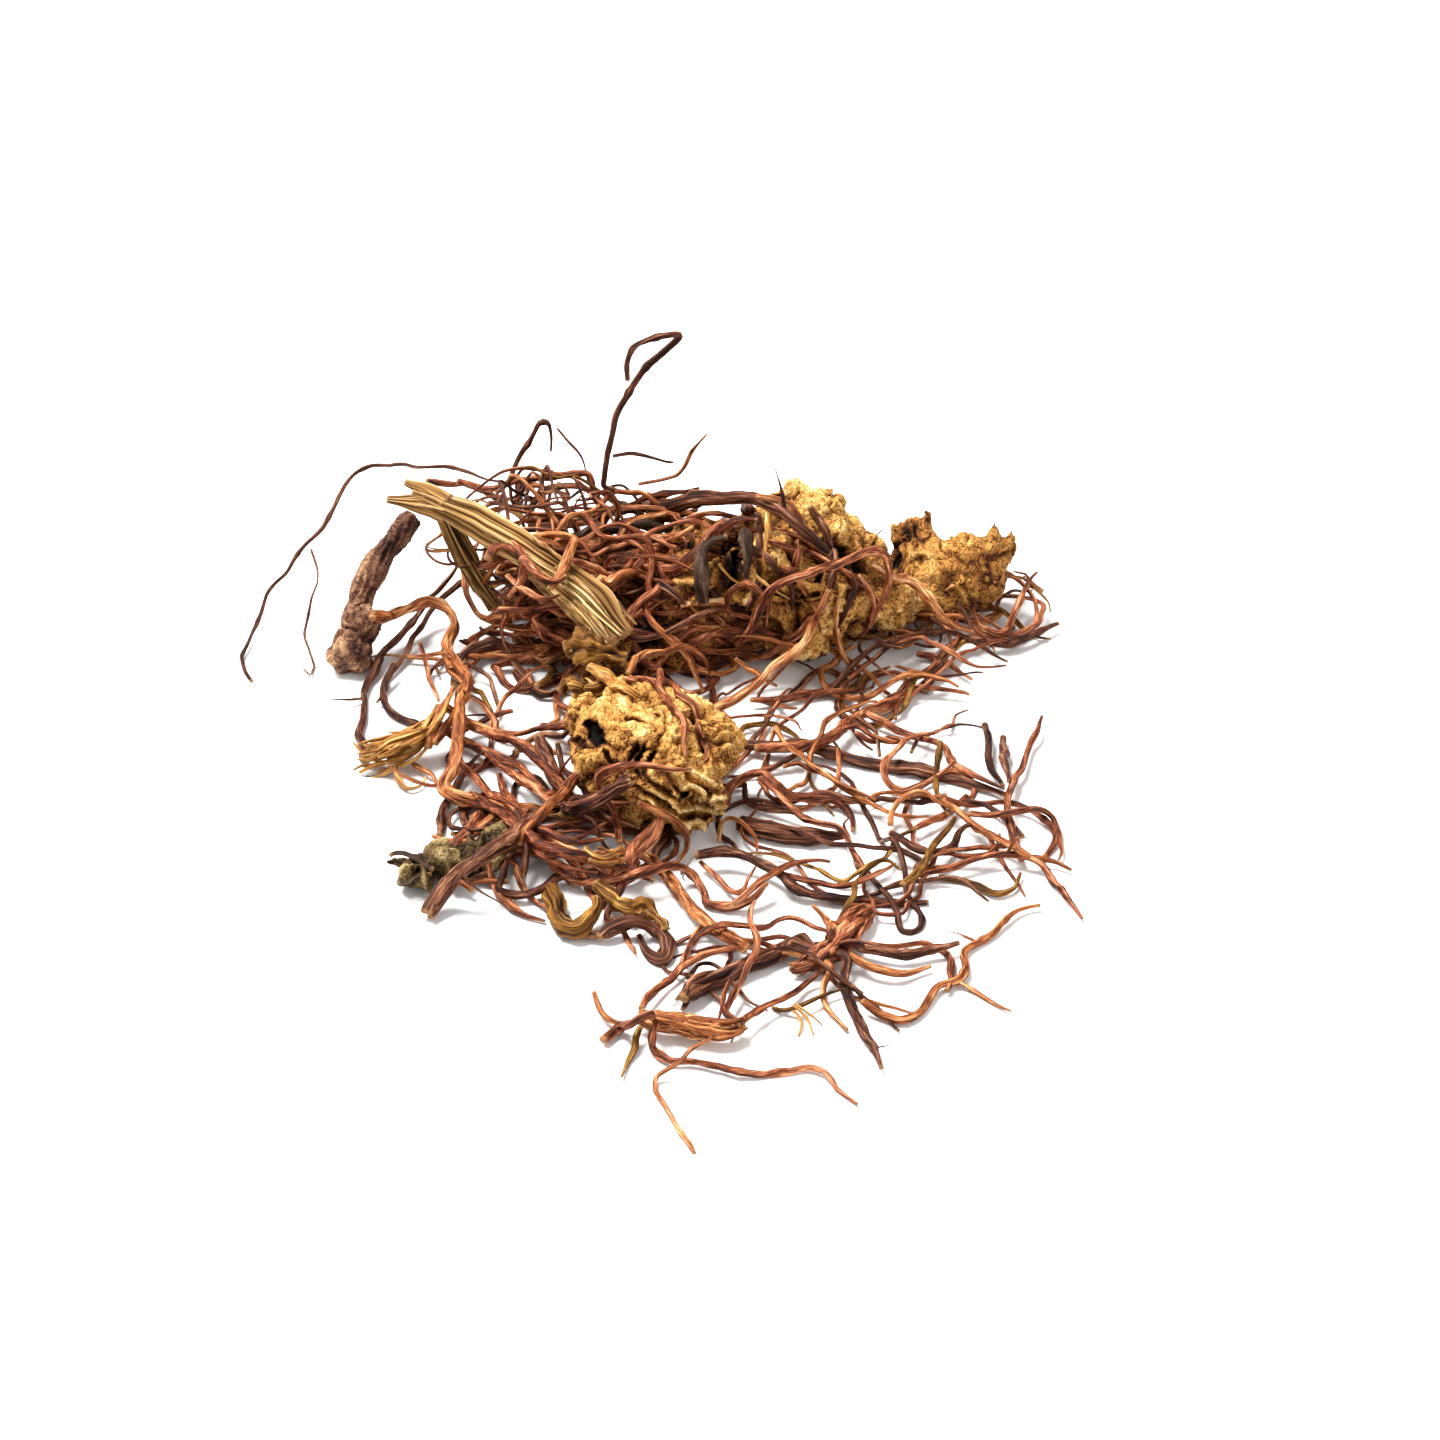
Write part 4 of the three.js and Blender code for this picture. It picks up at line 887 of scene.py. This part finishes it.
# Thin strands drawn over the picture: [look, radius in mm, route]
DRAWN = [
    ["dark", 0.42, [
        [498, 492, 18], [512, 480, 20], [522, 455, 24], [530, 437, 27], [543, 420, 29.5], [550, 422, 29],
        [552, 435, 27], [551, 452, 24.5],
    ]],
    ["dark", 0.22, [[557, 430, 27], [570, 447, 24.5], [582, 460, 22], [588, 482, 19]]],
    ["dark", 0.3, [[612, 456, 27.5], [632, 453, 28], [655, 456, 27], [676, 462, 25.5]]],
    ["red", 0.3, [[640, 483, 21], [665, 476, 22], [682, 468, 23.5], [692, 457, 25.5], [706, 434, 29.5]]],
    ["red", 0.6, [
        [532, 530, 8], [530, 508, 12], [545, 490, 15], [570, 486, 16.5], [595, 497, 15], [612, 512, 12],
        [640, 505, 15], [670, 497, 18],
    ]],
    ["dark", 0.4, [[480, 490, 15], [500, 500, 13.5], [520, 515, 11.5], [525, 530, 9.5]]],
    ["red", 0.55, [[636, 558, 15], [652, 550, 16], [672, 548, 16.5], [690, 542, 17.5]]],
    ["tan", 0.85, [[576, 540, 21], [570, 556, 20], [560, 574, 18.6], [550, 590, 17.2]]],
    ["red", 0.5, [
        [766, 600, 12.5], [752, 589, 14.5], [736, 590, 14.5], [727, 602, 12.5], [733, 613, 11],
        [750, 618, 10.5], [767, 618, 10.5],
    ]],
    ["tan", 0.55, [[838, 600, 9], [839, 638, 6], [845, 655, 3.8], [856, 673, 1.5]]],
    ["tan", 0.45, [[736, 656, 5], [748, 668, 4.2], [760, 677, 5], [777, 685, 3]]],
    ["tan", 0.45, [[757, 497, 27], [777, 500, 27], [795, 508, 25.5], [806, 519, 23.5]]],
    ["red", 0.5, [[985, 628, 3], [1003, 632, 2.5], [1016, 606, 3.5], [1028, 585, 5], [1037, 572, 6]]],
    ["dark", 0.42, [
        [474, 572, 7], [455, 586, 6], [440, 599, 4.5], [430, 612, 3.2], [415, 636, 2], [402, 656, 1.2],
        [393, 672, 0.8], [374, 704, 0.8],
    ]],
    ["red", 0.45, [[419, 640, 3.6], [425, 656, 2.5], [431, 680, 1.8], [438, 700, 1.8]]],
    ["dark", 0.55, [[529, 636, 3.5], [536, 650, 2.5], [547, 662, 1.5], [563, 680, 0.8]]],
    ["dark", 0.55, [[515, 672, 0.8], [530, 688, 0.8], [545, 696, 0.8], [570, 690, 1]]],
    ["tan", 0.45, [[412, 765, 1.2], [430, 777, 0.9], [443, 785, 0.6]]],
    ["red", 0.55, [[487, 860, 3.5], [489, 880, 0.6], [502, 901, 0.6], [522, 914, 0.6], [546, 921, 0.6]]],
    ["red", 0.45, [[500, 858, 3], [512, 864, 1.2], [521, 881, 0.5], [531, 898, 0.5], [545, 911, 0.8]]],
    ["dark", 0.85, [[522, 832, 4.5], [541, 851, 1.6], [554, 870, 1]]],
    ["dark", 1.0, [[538, 736, 6], [546, 758, 5.4], [557, 780, 5], [568, 800, 4.6], [560, 818, 4]]],
    ["red", 0.7, [
        [479, 730, 3], [508, 741, 4], [533, 755, 5], [550, 770, 5.5], [571, 795, 6], [592, 803, 6],
        [634, 803, 5],
    ]],
    ["red", 0.6, [
        [466, 741, 2], [487, 753, 2.6], [508, 770, 3], [525, 783, 3.4], [542, 798, 4], [560, 806, 4.4],
    ]],
    ["tan", 0.72, [[577, 774, 8], [563, 795, 7.4], [542, 812, 7], [528, 827, 6.4], [520, 845, 5]]],
    ["red", 0.62, [
        [452, 752, 1.6], [470, 775, 2], [492, 795, 2.6], [515, 808, 4], [540, 830, 5.6], [572, 842, 6],
        [606, 838, 5],
    ]],
    ["red", 0.85, [
        [470, 795, 2.4], [505, 815, 4.4], [532, 836, 6], [558, 850, 6], [588, 858, 5], [625, 862, 4],
        [655, 880, 3],
    ]],
    ["red", 0.5, [
        [500, 775, 1], [507, 795, 1.4], [520, 812, 3], [536, 846, 4.6], [560, 862, 4.4], [600, 872, 3.4],
    ]],
    ["dark", 0.45, [[560, 745, 3], [566, 768, 3.6], [585, 790, 4.6], [606, 812, 5], [640, 826, 4]]],
    ["straw", 0.5, [[586, 851, 6.6], [599, 857, 7], [614, 854, 7], [626, 848, 6]]],
    ["straw", 0.4, [[590, 860, 6.2], [606, 863, 6.4], [622, 859, 6]]],
    ["straw", 0.34, [[596, 848, 7], [608, 850, 7.4], [628, 862, 6]]],
    ["ochre", 1.05, [
        [597, 889, 3], [612, 897, 2.8], [630, 908, 2.4], [648, 908, 2.2], [660, 920, 1.8], [668, 931, 1.4],
    ]],
    ["dark", 0.6, [[575, 931, 1], [600, 935, 1], [630, 926, 1.4], [644, 912, 2.4]]],
    ["red", 0.5, [
        [622, 681, 14], [640, 682, 15], [668, 686, 14], [688, 699, 13.5], [696, 716, 13], [701, 737, 12],
        [706, 752, 10.5], [698, 764, 9.5],
    ]],
    ["red", 0.55, [
        [661, 672, 14], [660, 690, 15], [672, 708, 15], [683, 722, 14.5], [684, 740, 13], [686, 758, 11],
    ]],
    ["dark", 0.5, [[746, 786, 1.4], [749, 801, 1.2], [766, 808, 1.2], [790, 815, 1.4], [806, 822, 1.2]]],
    ["tan", 0.36, [
        [719, 842, 1], [722, 826, 1.6], [735, 820, 2], [748, 825, 2.4], [755, 838, 2], [758, 855, 1.6],
    ]],
    ["tan", 0.4, [
        [776, 726, 3.4], [786, 742, 3.6], [797, 756, 4], [818, 770, 4], [840, 785, 3.8], [875, 800, 3],
    ]],
    ["red", 0.4, [[700, 859, 1.6], [718, 878, 1.2], [736, 893, 1.4], [748, 880, 2], [756, 866, 2.6]]],
    ["ochre", 0.5, [[939, 741, 4], [939, 760, 3.2], [936, 783, 2.6], [939, 800, 2.6], [946, 812, 2.6]]],
    ["dark", 0.55, [[1001, 737, 1.2], [1004, 760, 2], [1006, 783, 2.4]]],
    ["red", 0.5, [
        [968, 811, 3.4], [990, 815, 3.4], [1015, 812, 4], [1036, 808, 3], [1051, 813, 2], [1058, 827, 1],
        [1061, 846, 0.6], [1056, 861, 0.6],
    ]],
    ["tan", 0.5, [
        [945, 800, 3], [965, 815, 3], [985, 830, 2.4], [1005, 842, 2.4], [1025, 855, 2.6], [1045, 860, 1.4],
        [1072, 872, 0.6],
    ]],
    ["tan", 0.45, [
        [890, 826, 1], [893, 812, 2], [905, 800, 3], [921, 793, 3.6], [936, 800, 3.4], [954, 812, 2.6],
    ]],
    ["ochre", 0.4, [
        [841, 919, 2], [848, 901, 3], [858, 881, 2.6], [871, 868, 2.4], [886, 862, 2.6], [901, 870, 3.4],
    ]],
    ["tan", 0.42, [[592, 993, 2.2], [600, 1012, 1.4], [619, 1023, 1.4], [640, 1022, 2]]],
    ["ochre", 0.55, [[640, 1028, 2], [634, 1036, 1.4], [628, 1056, 0.7], [620, 1078, 0.6]]],
    ["red", 0.55, [[735, 1026, 2.6], [766, 1009, 2], [786, 999, 1.4], [805, 985, 1.2], [822, 970, 2]]],
    ["tan", 0.38, [[958, 981, 1.2], [980, 992, 0.5], [1009, 1012, 0.5]]],
    ["dark", 0.32, [[685, 975, 1.6], [710, 962, 1.8], [735, 985, 1.4], [752, 1001, 0.8], [770, 1008, 0.5]]],
    ["dark", 0.34, [[855, 985, 2.4], [868, 999, 1.2], [880, 1008, 0.6], [900, 1030, 0.4]]],
    ["red", 0.5, [[640, 1008, 3.4], [662, 985, 3], [682, 966, 2.8], [705, 955, 2.8], [738, 948, 3.2]]],
    ["tan", 0.6, [[850, 955, 2.4], [870, 968, 1.8], [900, 972, 1.4], [930, 962, 1.4]]],
    ["tan", 0.55, [[835, 930, 3.4], [823, 920, 2.8], [813, 907, 2.6]]],
    ["dark", 0.22, [
        [313, 552, 9], [317, 575, 6], [309, 605, 3.2], [302, 632, 1.4], [307, 648, 0.8], [313, 675, 0.4],
        [303, 667, 0.4],
    ]],
    ["dark", 0.3, [[462, 663, 2.6], [480, 672, 2], [492, 684, 1.6], [498, 712, 1.2], [465, 716, 1.2]]],
    ["dark", 0.6, [[395, 665, 2.6], [385, 692, 1.4], [392, 710, 1], [415, 722, 0.9], [442, 728, 0.9]]],
    ["red", 0.5, [[785, 873, 2.6], [815, 884, 2.4], [845, 887, 2.4], [880, 876, 2.6], [892, 866, 2.6]]],
    ["red", 0.55, [[735, 905, 2], [760, 886, 3.4], [785, 869, 3.6], [808, 862, 2.8], [830, 863, 2]]],
    ["red", 0.6, [[748, 700, 1.4], [790, 699, 1], [830, 692, 0.9], [862, 676, 0.9]]],
    ["red", 0.65, [[822, 612, 12], [795, 634, 9], [768, 652, 5], [745, 660, 2.4]]],
    ["red", 0.55, [[868, 712, 2.4], [905, 733, 1.4], [945, 750, 1.4], [962, 772, 1.6], [1003, 790, 2.2]]],
    ["red", 0.9, [
        [487, 556, 19], [498, 545, 20], [514, 548, 20], [522, 562, 19], [520, 580, 17], [510, 596, 15],
    ]],
    ["red", 0.75, [[521, 560, 20], [536, 574, 19.4], [552, 583, 18.6], [566, 578, 18.6]]],
    ["red", 0.5, [[508, 574, 17], [522, 590, 16], [540, 600, 16], [562, 596, 16.4]]],
    ["ochre", 1.7, [[566, 650, 10.5], [584, 645, 12], [606, 652, 11.5], [624, 662, 10.5]]],
    ["straw", 0.45, [[398, 756, 2.4], [399, 775, 1], [408, 787, 0.8], [420, 786, 0.8], [424, 778, 0.9]]],
    ["straw", 0.4, [[376, 756, 2.4], [362, 752, 2.2], [352, 741, 3]]],
    ["straw", 0.35, [[380, 762, 1.6], [364, 767, 0.8], [354, 773, 0.5]]],
    ["straw", 0.5, [[426, 736, 5], [442, 714, 6.8], [452, 694, 8]]],
    ["straw", 0.3, [[793, 1006, 1.4], [799, 1018, 1.2], [797, 1033, 0.4]]],
    ["straw", 0.28, [[794, 1005, 1.4], [806, 1019, 1.4], [812, 1036, 0.4]]],
    ["straw", 0.26, [[795, 1005, 1.5], [808, 1013, 1.4], [821, 1025, 0.4]]],
    ["ochre", 0.34, [
        [770, 1008, 0.6], [783, 1008, 1.2], [795, 1005, 1.6], [810, 998, 1.6], [830, 992, 1.2],
        [852, 986, 1.6],
    ]],
    ["tan", 0.85, [[424, 744, 4], [433, 723, 5.5], [444, 702, 7], [452, 688, 8]]],
    ["tan", 0.7, [[434, 746, 3.6], [445, 726, 5], [453, 706, 6.4]]],
    ["tan", 0.6, [[412, 742, 4.6], [426, 722, 6], [440, 704, 7]]],
    ["straw", 0.6, [[772, 498, 26], [768, 520, 24], [766, 545, 21], [763, 575, 17], [758, 590, 15]]],
    ["straw", 0.32, [[742, 560, 20], [756, 575, 18], [775, 590, 16], [790, 600, 14]]],
    ["straw", 0.3, [[716, 566, 18], [728, 578, 17], [740, 584, 16]]],
    ["straw", 0.95, [[590, 666, 16], [604, 676, 15.6], [620, 688, 15.4], [638, 700, 15]]],
    ["ochre", 1.1, [[560, 692, 10], [572, 684, 11], [586, 692, 12], [602, 690, 12]]],
    ["dark", 0.5, [
        [742, 498, 5], [755, 520, 5], [762, 548, 5], [758, 575, 5], [748, 600, 5], [735, 625, 4],
    ]],
    ["red", 0.5, [
        [790, 502, 5], [800, 525, 5], [798, 552, 5], [785, 575, 5], [770, 600, 5], [765, 630, 4],
    ]],
    ["dark", 0.55, [
        [812, 508, 5], [826, 535, 5], [832, 560, 5], [828, 590, 5], [815, 620, 4], [800, 642, 3],
    ]],
    ["red", 0.45, [
        [770, 540, 5], [795, 548, 5], [820, 556, 5], [845, 570, 5], [866, 588, 5], [880, 612, 3],
    ]],
    ["tan", 0.4, [[752, 560, 5], [775, 566, 5], [796, 580, 5], [812, 602, 5], [820, 630, 3]]],
    ["dark", 0.45, [[845, 560, 5], [852, 585, 5], [848, 610, 4], [838, 632, 3]]],
    ["red", 0.5, [[720, 520, 6], [745, 528, 6], [772, 530, 6], [798, 538, 6], [818, 552, 6]]],
    ["dark", 0.6, [
        [700, 545, 6], [725, 540, 6], [750, 548, 6], [772, 562, 6], [788, 585, 6], [795, 612, 5],
    ]],
    ["red", 0.4, [[860, 575, 5], [872, 600, 4], [866, 625, 2], [852, 640, 2]]],
    ["grey", 0.55, [[434, 868, 4], [418, 861, 4.6], [405, 854, 5], [393, 857, 5.4]]],
    ["grey", 0.5, [[428, 874, 3.4], [414, 877, 3.4], [405, 882, 3.2], [400, 874, 3.6]]],
    ["tan", 0.95, [[458, 876, 2.6], [466, 884, 2], [473, 893, 1.2]]],
    ["red", 0.8, [
        [752, 748, 3.4], [800, 745, 3.4], [835, 733, 2.8], [862, 714, 2.2], [895, 697, 1.4], [925, 680, 1],
    ]],
]


# The nest on the crown's left: how many strands, and from which angle to which round a level axis
NEST_STRANDS = 90
NEST_ANGLES = (math.radians(-20), math.radians(205))
# Patches of loose strands, in mm: [middle x, middle y, half width, half depth, lowest, highest, strands,
# thinnest radius, thickest radius]
TANGLES = [
    [-22, 2, 17, 12, 0.5, 16, 30, 0.3, 0.6],
    [-33, 8, 16, 7, 14, 29, 26, 0.2, 0.36],
    [20, -6, 18, 12, 0.5, 6, 20, 0.26, 0.5],
    [8, -26, 17, 11, 0.5, 5, 11, 0.26, 0.5],
    [-38, -14, 12, 13, 0.5, 5.5, 7, 0.24, 0.5],
    [-32, -52, 15, 9, 0.5, 6.5, 18, 0.3, 0.75],
    [14, -50, 20, 12, 0.5, 4.5, 12, 0.24, 0.5],
    [4, -84, 18, 14, 0.5, 3.5, 4, 0.22, 0.4],
    [28, 8, 14, 8, 1, 9, 16, 0.24, 0.45],
]
# The picture's outline of the low tangle, which no loose strand leaves
OUTLINE = [
    [372, 600], [370, 690], [372, 770], [440, 800], [425, 850], [450, 905], [530, 915], [600, 945],
    [660, 965],
    [625, 1010], [660, 1050], [760, 1045], [860, 1050], [950, 1000], [1000, 950], [940, 920], [1070, 890],
    [1058, 810], [1000, 735], [965, 690], [1060, 640], [1040, 575], [900, 560], [870, 480], [700, 470],
    [480, 465], [440, 520],
]
# The loose strands' walks: how many steps, and mm to a step
WALK_STEPS = 40
WALK_STEP = 1.6


def inside_outline(path):
    """Whether each place of a path shows inside the outline: a level ray crosses an odd number of sides."""
    u, v = pictured(path)
    corners = np.array(OUTLINE, float)
    odd = np.zeros(len(path), bool)
    for (u0, v0), (u1, v1) in zip(corners, np.roll(corners, -1, axis=0)):
        between = (v0 > v) != (v1 > v)
        odd ^= between & (u < u0 + (u1 - u0) * (v - v0) / (v1 - v0 + 1e-9))
    return odd


def resting_on(tree, route, radius):
    """The route's places, with each one that the bark hides drawn out to lie on the bark where it is seen."""
    path, _ = smooth_path(seen(route), 1.5)
    eye = Vector(VIEW_EYE)
    for number, place in enumerate(path):
        ray = Vector(place) - eye
        hit = tree.ray_cast(eye, ray.normalized(), ray.length + radius)
        if hit[0] is not None:
            path[number] = np.array(hit[0] - (radius + 0.1) * ray.normalized())
    return path


def draped(tree, path, radius):
    """The path with each place inside the bark, or too near it, moved out to lie on it."""
    path = path.copy()
    for number, place in enumerate(path):
        skin, out, _, _ = tree.find_nearest(Vector(place))
        if (Vector(place) - skin).dot(out) < radius:
            path[number] = np.array(skin + (radius + 0.1) * out)
    path[:, 2] = np.maximum(path[:, 2], radius)
    return path


def make_drawn(tree):
    """The drawn strands of each look as one piece."""
    groups = {}
    for number, (look, radius, route) in enumerate(DRAWN):
        path = resting_on(tree, route, radius)
        widths = [radius, radius, 0.85 * radius]
        kind = DRAWN_KNOB if radius > KNOBBLY_STRAND else DRAWN_STRAND
        surface = strand(path, widths, DRAWN_SEED + SEED_STEP * number, **kind)
        groups.setdefault(look, []).append(surface)
    return groups


def make_nest(tree, groups):
    """The nest of strands on the crown's left and back: each runs from the crown outwards on a shell round
    a level axis, at its own angle and depth in the shell, and sways by slow and quick noise."""
    draw = np.random.default_rng(71)
    looks = ["red", "dark", "red", "tan", "tan", "red", "dark", "red", "grey"]
    for number in range(NEST_STRANDS):
        angle = draw.uniform(*NEST_ANGLES)
        left = draw.uniform(-44, -24)
        right = draw.uniform(-12, 9)
        part = np.linspace(0, 1, 16)
        curl = draw.uniform(0.8, 1.9)
        x = right + (left - right) * np.sin(0.5 * np.pi * curl * part)
        swing = angle + draw.uniform(-2.2, 2.2) * part
        shell = np.sqrt(np.clip(1 - ((x + 12) / 40) ** 2, 0.1, 1)) * draw.uniform(0.6, 1.05)
        shell *= 0.55 + 0.45 * eased(part, 0, 0.35)
        path = np.stack([x, 1 + 11.5 * shell * -np.cos(swing), 6 + 14.0 * shell * np.sin(swing)], axis=1)
        slow = noises(path, 9.0, 700 + 3 * number)
        quick = noises(path, 3.6, 900 + 3 * number)
        path += 5.0 * slow + 1.9 * quick
        path[:, 2] = np.maximum(path[:, 2], 0.8)
        radius = draw.uniform(0.32, 0.72)
        path = draped(tree, path, radius)
        widths = [1.1 * radius, radius, 0.75 * radius]
        surface = strand(path, widths, NEST_SEED + SEED_STEP * number, **NEST_STRAND)
        groups.setdefault(looks[number % len(looks)], []).append(surface)


def roaming(patch, seed):
    """Walks over a patch of the table, all at once: each goes on in equal steps, its heading turned by slow
    noise, by its own bend and, past the patch's edge, back to the middle. A walk's height is a slow wave
    under a dome."""
    middle_x, middle_y, half_x, half_y, lowest, highest, count, _, _ = patch
    draw = np.random.default_rng(seed)
    middle = np.array([middle_x, middle_y])
    half = np.array([half_x, half_y])
    place = middle + half * draw.uniform(-1, 1, (count, 2))
    heading = draw.uniform(0, 2 * np.pi, count)
    bend = draw.normal(0, 0.05, count)
    lane = 9.7 * np.arange(count)
    floor = draw.uniform(0, 0.5, count)
    track = []
    for number in range(WALK_STEPS):
        spot = np.stack([lane, np.full(count, 0.3 * number), np.zeros(count)], axis=1)
        back = (middle - place) / half
        outside = np.clip(np.linalg.norm(back, axis=1) - 0.8, 0, 1)
        homeward = np.sin(np.arctan2(back[:, 1], back[:, 0]) - heading)
        heading = heading + 0.32 * noise(spot, 1.0, seed) + bend + 0.9 * outside * homeward
        place = place + WALK_STEP * np.stack([np.cos(heading), np.sin(heading)], axis=1)
        dome = np.clip(1.1 - np.linalg.norm((place - middle) / half, axis=1) ** 2, 0.1, 1)
        wave = np.clip(0.5 + 0.8 * noise(spot, 1.6, seed + 1), 0, 1)
        track.append(np.column_stack([place, lowest + (highest - lowest) * dome * (floor + 0.5 * wave)]))
    return np.stack(track, axis=1), draw


def make_tangles(tree, groups):
    """Loose long strands in each patch of the tangle."""
    looks = ["red", "dark", "red", "tan", "dark", "red", "ochre"]
    for number, patch in enumerate(TANGLES):
        walks, draw = roaming(patch, 40 + 10 * number)
        for count, walk in enumerate(walks):
            path = walk[:draw.integers(WALK_STEPS // 3, WALK_STEPS)]
            within = inside_outline(path)
            path = path[:len(path) if within.all() else np.argmin(within)]
            if len(path) < 5:
                continue
            radius = draw.uniform(*patch[7:])
            path = draped(tree, path, radius)
            widths = [1.1 * radius, radius, 0.8 * radius]
            seed = LOOSE_SEED + 2000 * number + SEED_STEP * count
            surface = strand(path, widths, seed, **LOOSE_STRAND)
            groups.setdefault(looks[count % len(looks)], []).append(surface)


def add_groups(name, groups):
    """One piece for each look of a set of strands."""
    for look, surfaces in groups.items():
        surface = together(surfaces)
        slot = "bud_fibre" if look == "straw" else "rootlet_" + look
        add_piece(name + "_" + look, surface, FINISHES[slot])


def make_object():
    """All pieces of the root."""
    bark = make_rhizome()
    add_piece("knobbly_rhizome", bark, FINISHES["rhizome_bark"], ["rhizome"])
    tree = BVHTree.FromPolygons([tuple(p) for p in bark["points"]], [tuple(q) for q in bark["faces"][0]])
    add_piece("dry_stem", make_stem(), FINISHES["dry_stem"], ["stem_stub"])
    plum = make_stout_root()
    add_piece("stout_plum_root", plum, FINISHES["stout_root_bark"], ["stout_root"])
    add_piece("bud_of_fibres", make_bud(), FINISHES["bud_fibre"], ["fibrous_bud"])
    add_piece("olive_offset", make_offset(), FINISHES["offset_bark"], ["side_offset"])
    knot = make_knot(FRONT_KNOT_SPINE, [0.5, 1.0, 1.2, 1.1, 0.9, 0.5], 301, 16)
    add_piece("plaited_front_knot", knot, FINISHES["rootlet_tan"], ["front_knot"])
    hub = make_knot(HUB_SPINE, [0.8, 1.3, 1.6, 1.6, 1.4, 1.0, 0.6], 401, 6)
    add_piece("spindle_hub", hub, FINISHES["rootlet_red"], ["front_hub"])
    make_rootlets()
    add_groups("thin_roots", make_drawn(tree))
    nest = {}
    make_nest(tree, nest)
    add_groups("nest_roots", nest)
    loose = {}
    make_tangles(tree, loose)
    add_groups("loose_roots", loose)


def make_floor():
    """A plain pale table top."""
    half = 3.0
    mesh = bpy.data.meshes.new("table_top")
    corners = [(-half, -half, 0), (half, -half, 0), (half, half, 0), (-half, half, 0)]
    mesh.from_pydata(corners, [], [(0, 1, 2, 3)])
    floor = bpy.data.objects.new("table_top", mesh)
    bpy.context.scene.collection.objects.link(floor)
    material, tree, output = new_material("white_card")
    shader = put(tree, "ShaderNodeBsdfPrincipled", {"Base Color": colour("#F6F5F4"), "Roughness": 0.9})
    tree.links.new(shader.outputs["BSDF"], output.inputs["Surface"])
    mesh.materials.append(material)


def add_light(name, place, aim, size, power):
    """A square soft light at a place, turned to face its aim."""
    light = bpy.data.lights.new(name, "AREA")
    light.shape = "SQUARE"
    light.size = size
    light.energy = power
    lamp = bpy.data.objects.new(name, light)
    lamp.location = place
    lamp.rotation_euler = (Vector(aim) - Vector(place)).to_track_quat("-Z", "Y").to_euler()
    bpy.context.scene.collection.objects.link(lamp)


def make_studio():
    """Soft light from above left and behind, a weak one from the right, a white room and the camera."""
    make_floor()
    add_light("key", (-0.26, 0.1, 0.62), (0, -0.02, 0), 0.3, 11.0)
    add_light("fill", (0.5, -0.45, 0.4), (0, -0.03, 0), 0.5, 2.0)
    world = bpy.data.worlds.new("white_room")
    world.use_nodes = True
    world.node_tree.nodes["Background"].inputs["Color"].default_value = (1, 1, 1, 1)
    world.node_tree.nodes["Background"].inputs["Strength"].default_value = 0.6
    scene = bpy.context.scene
    scene.world = world
    scene.view_settings.view_transform = "Standard"
    camera = bpy.data.objects.new("camera", bpy.data.cameras.new("camera"))
    camera.data.sensor_width = SENSOR_WIDTH
    camera.data.lens = SENSOR_WIDTH * PICTURE_FOCAL / (2 * PICTURE_CENTRE)
    camera.data.clip_start = 0.01
    camera.location = VIEW_EYE * MM
    camera.rotation_euler = Vector(VIEW_FORWARD).to_track_quat("-Z", "Y").to_euler()
    scene.collection.objects.link(camera)
    scene.camera = camera


make_object()
make_studio()
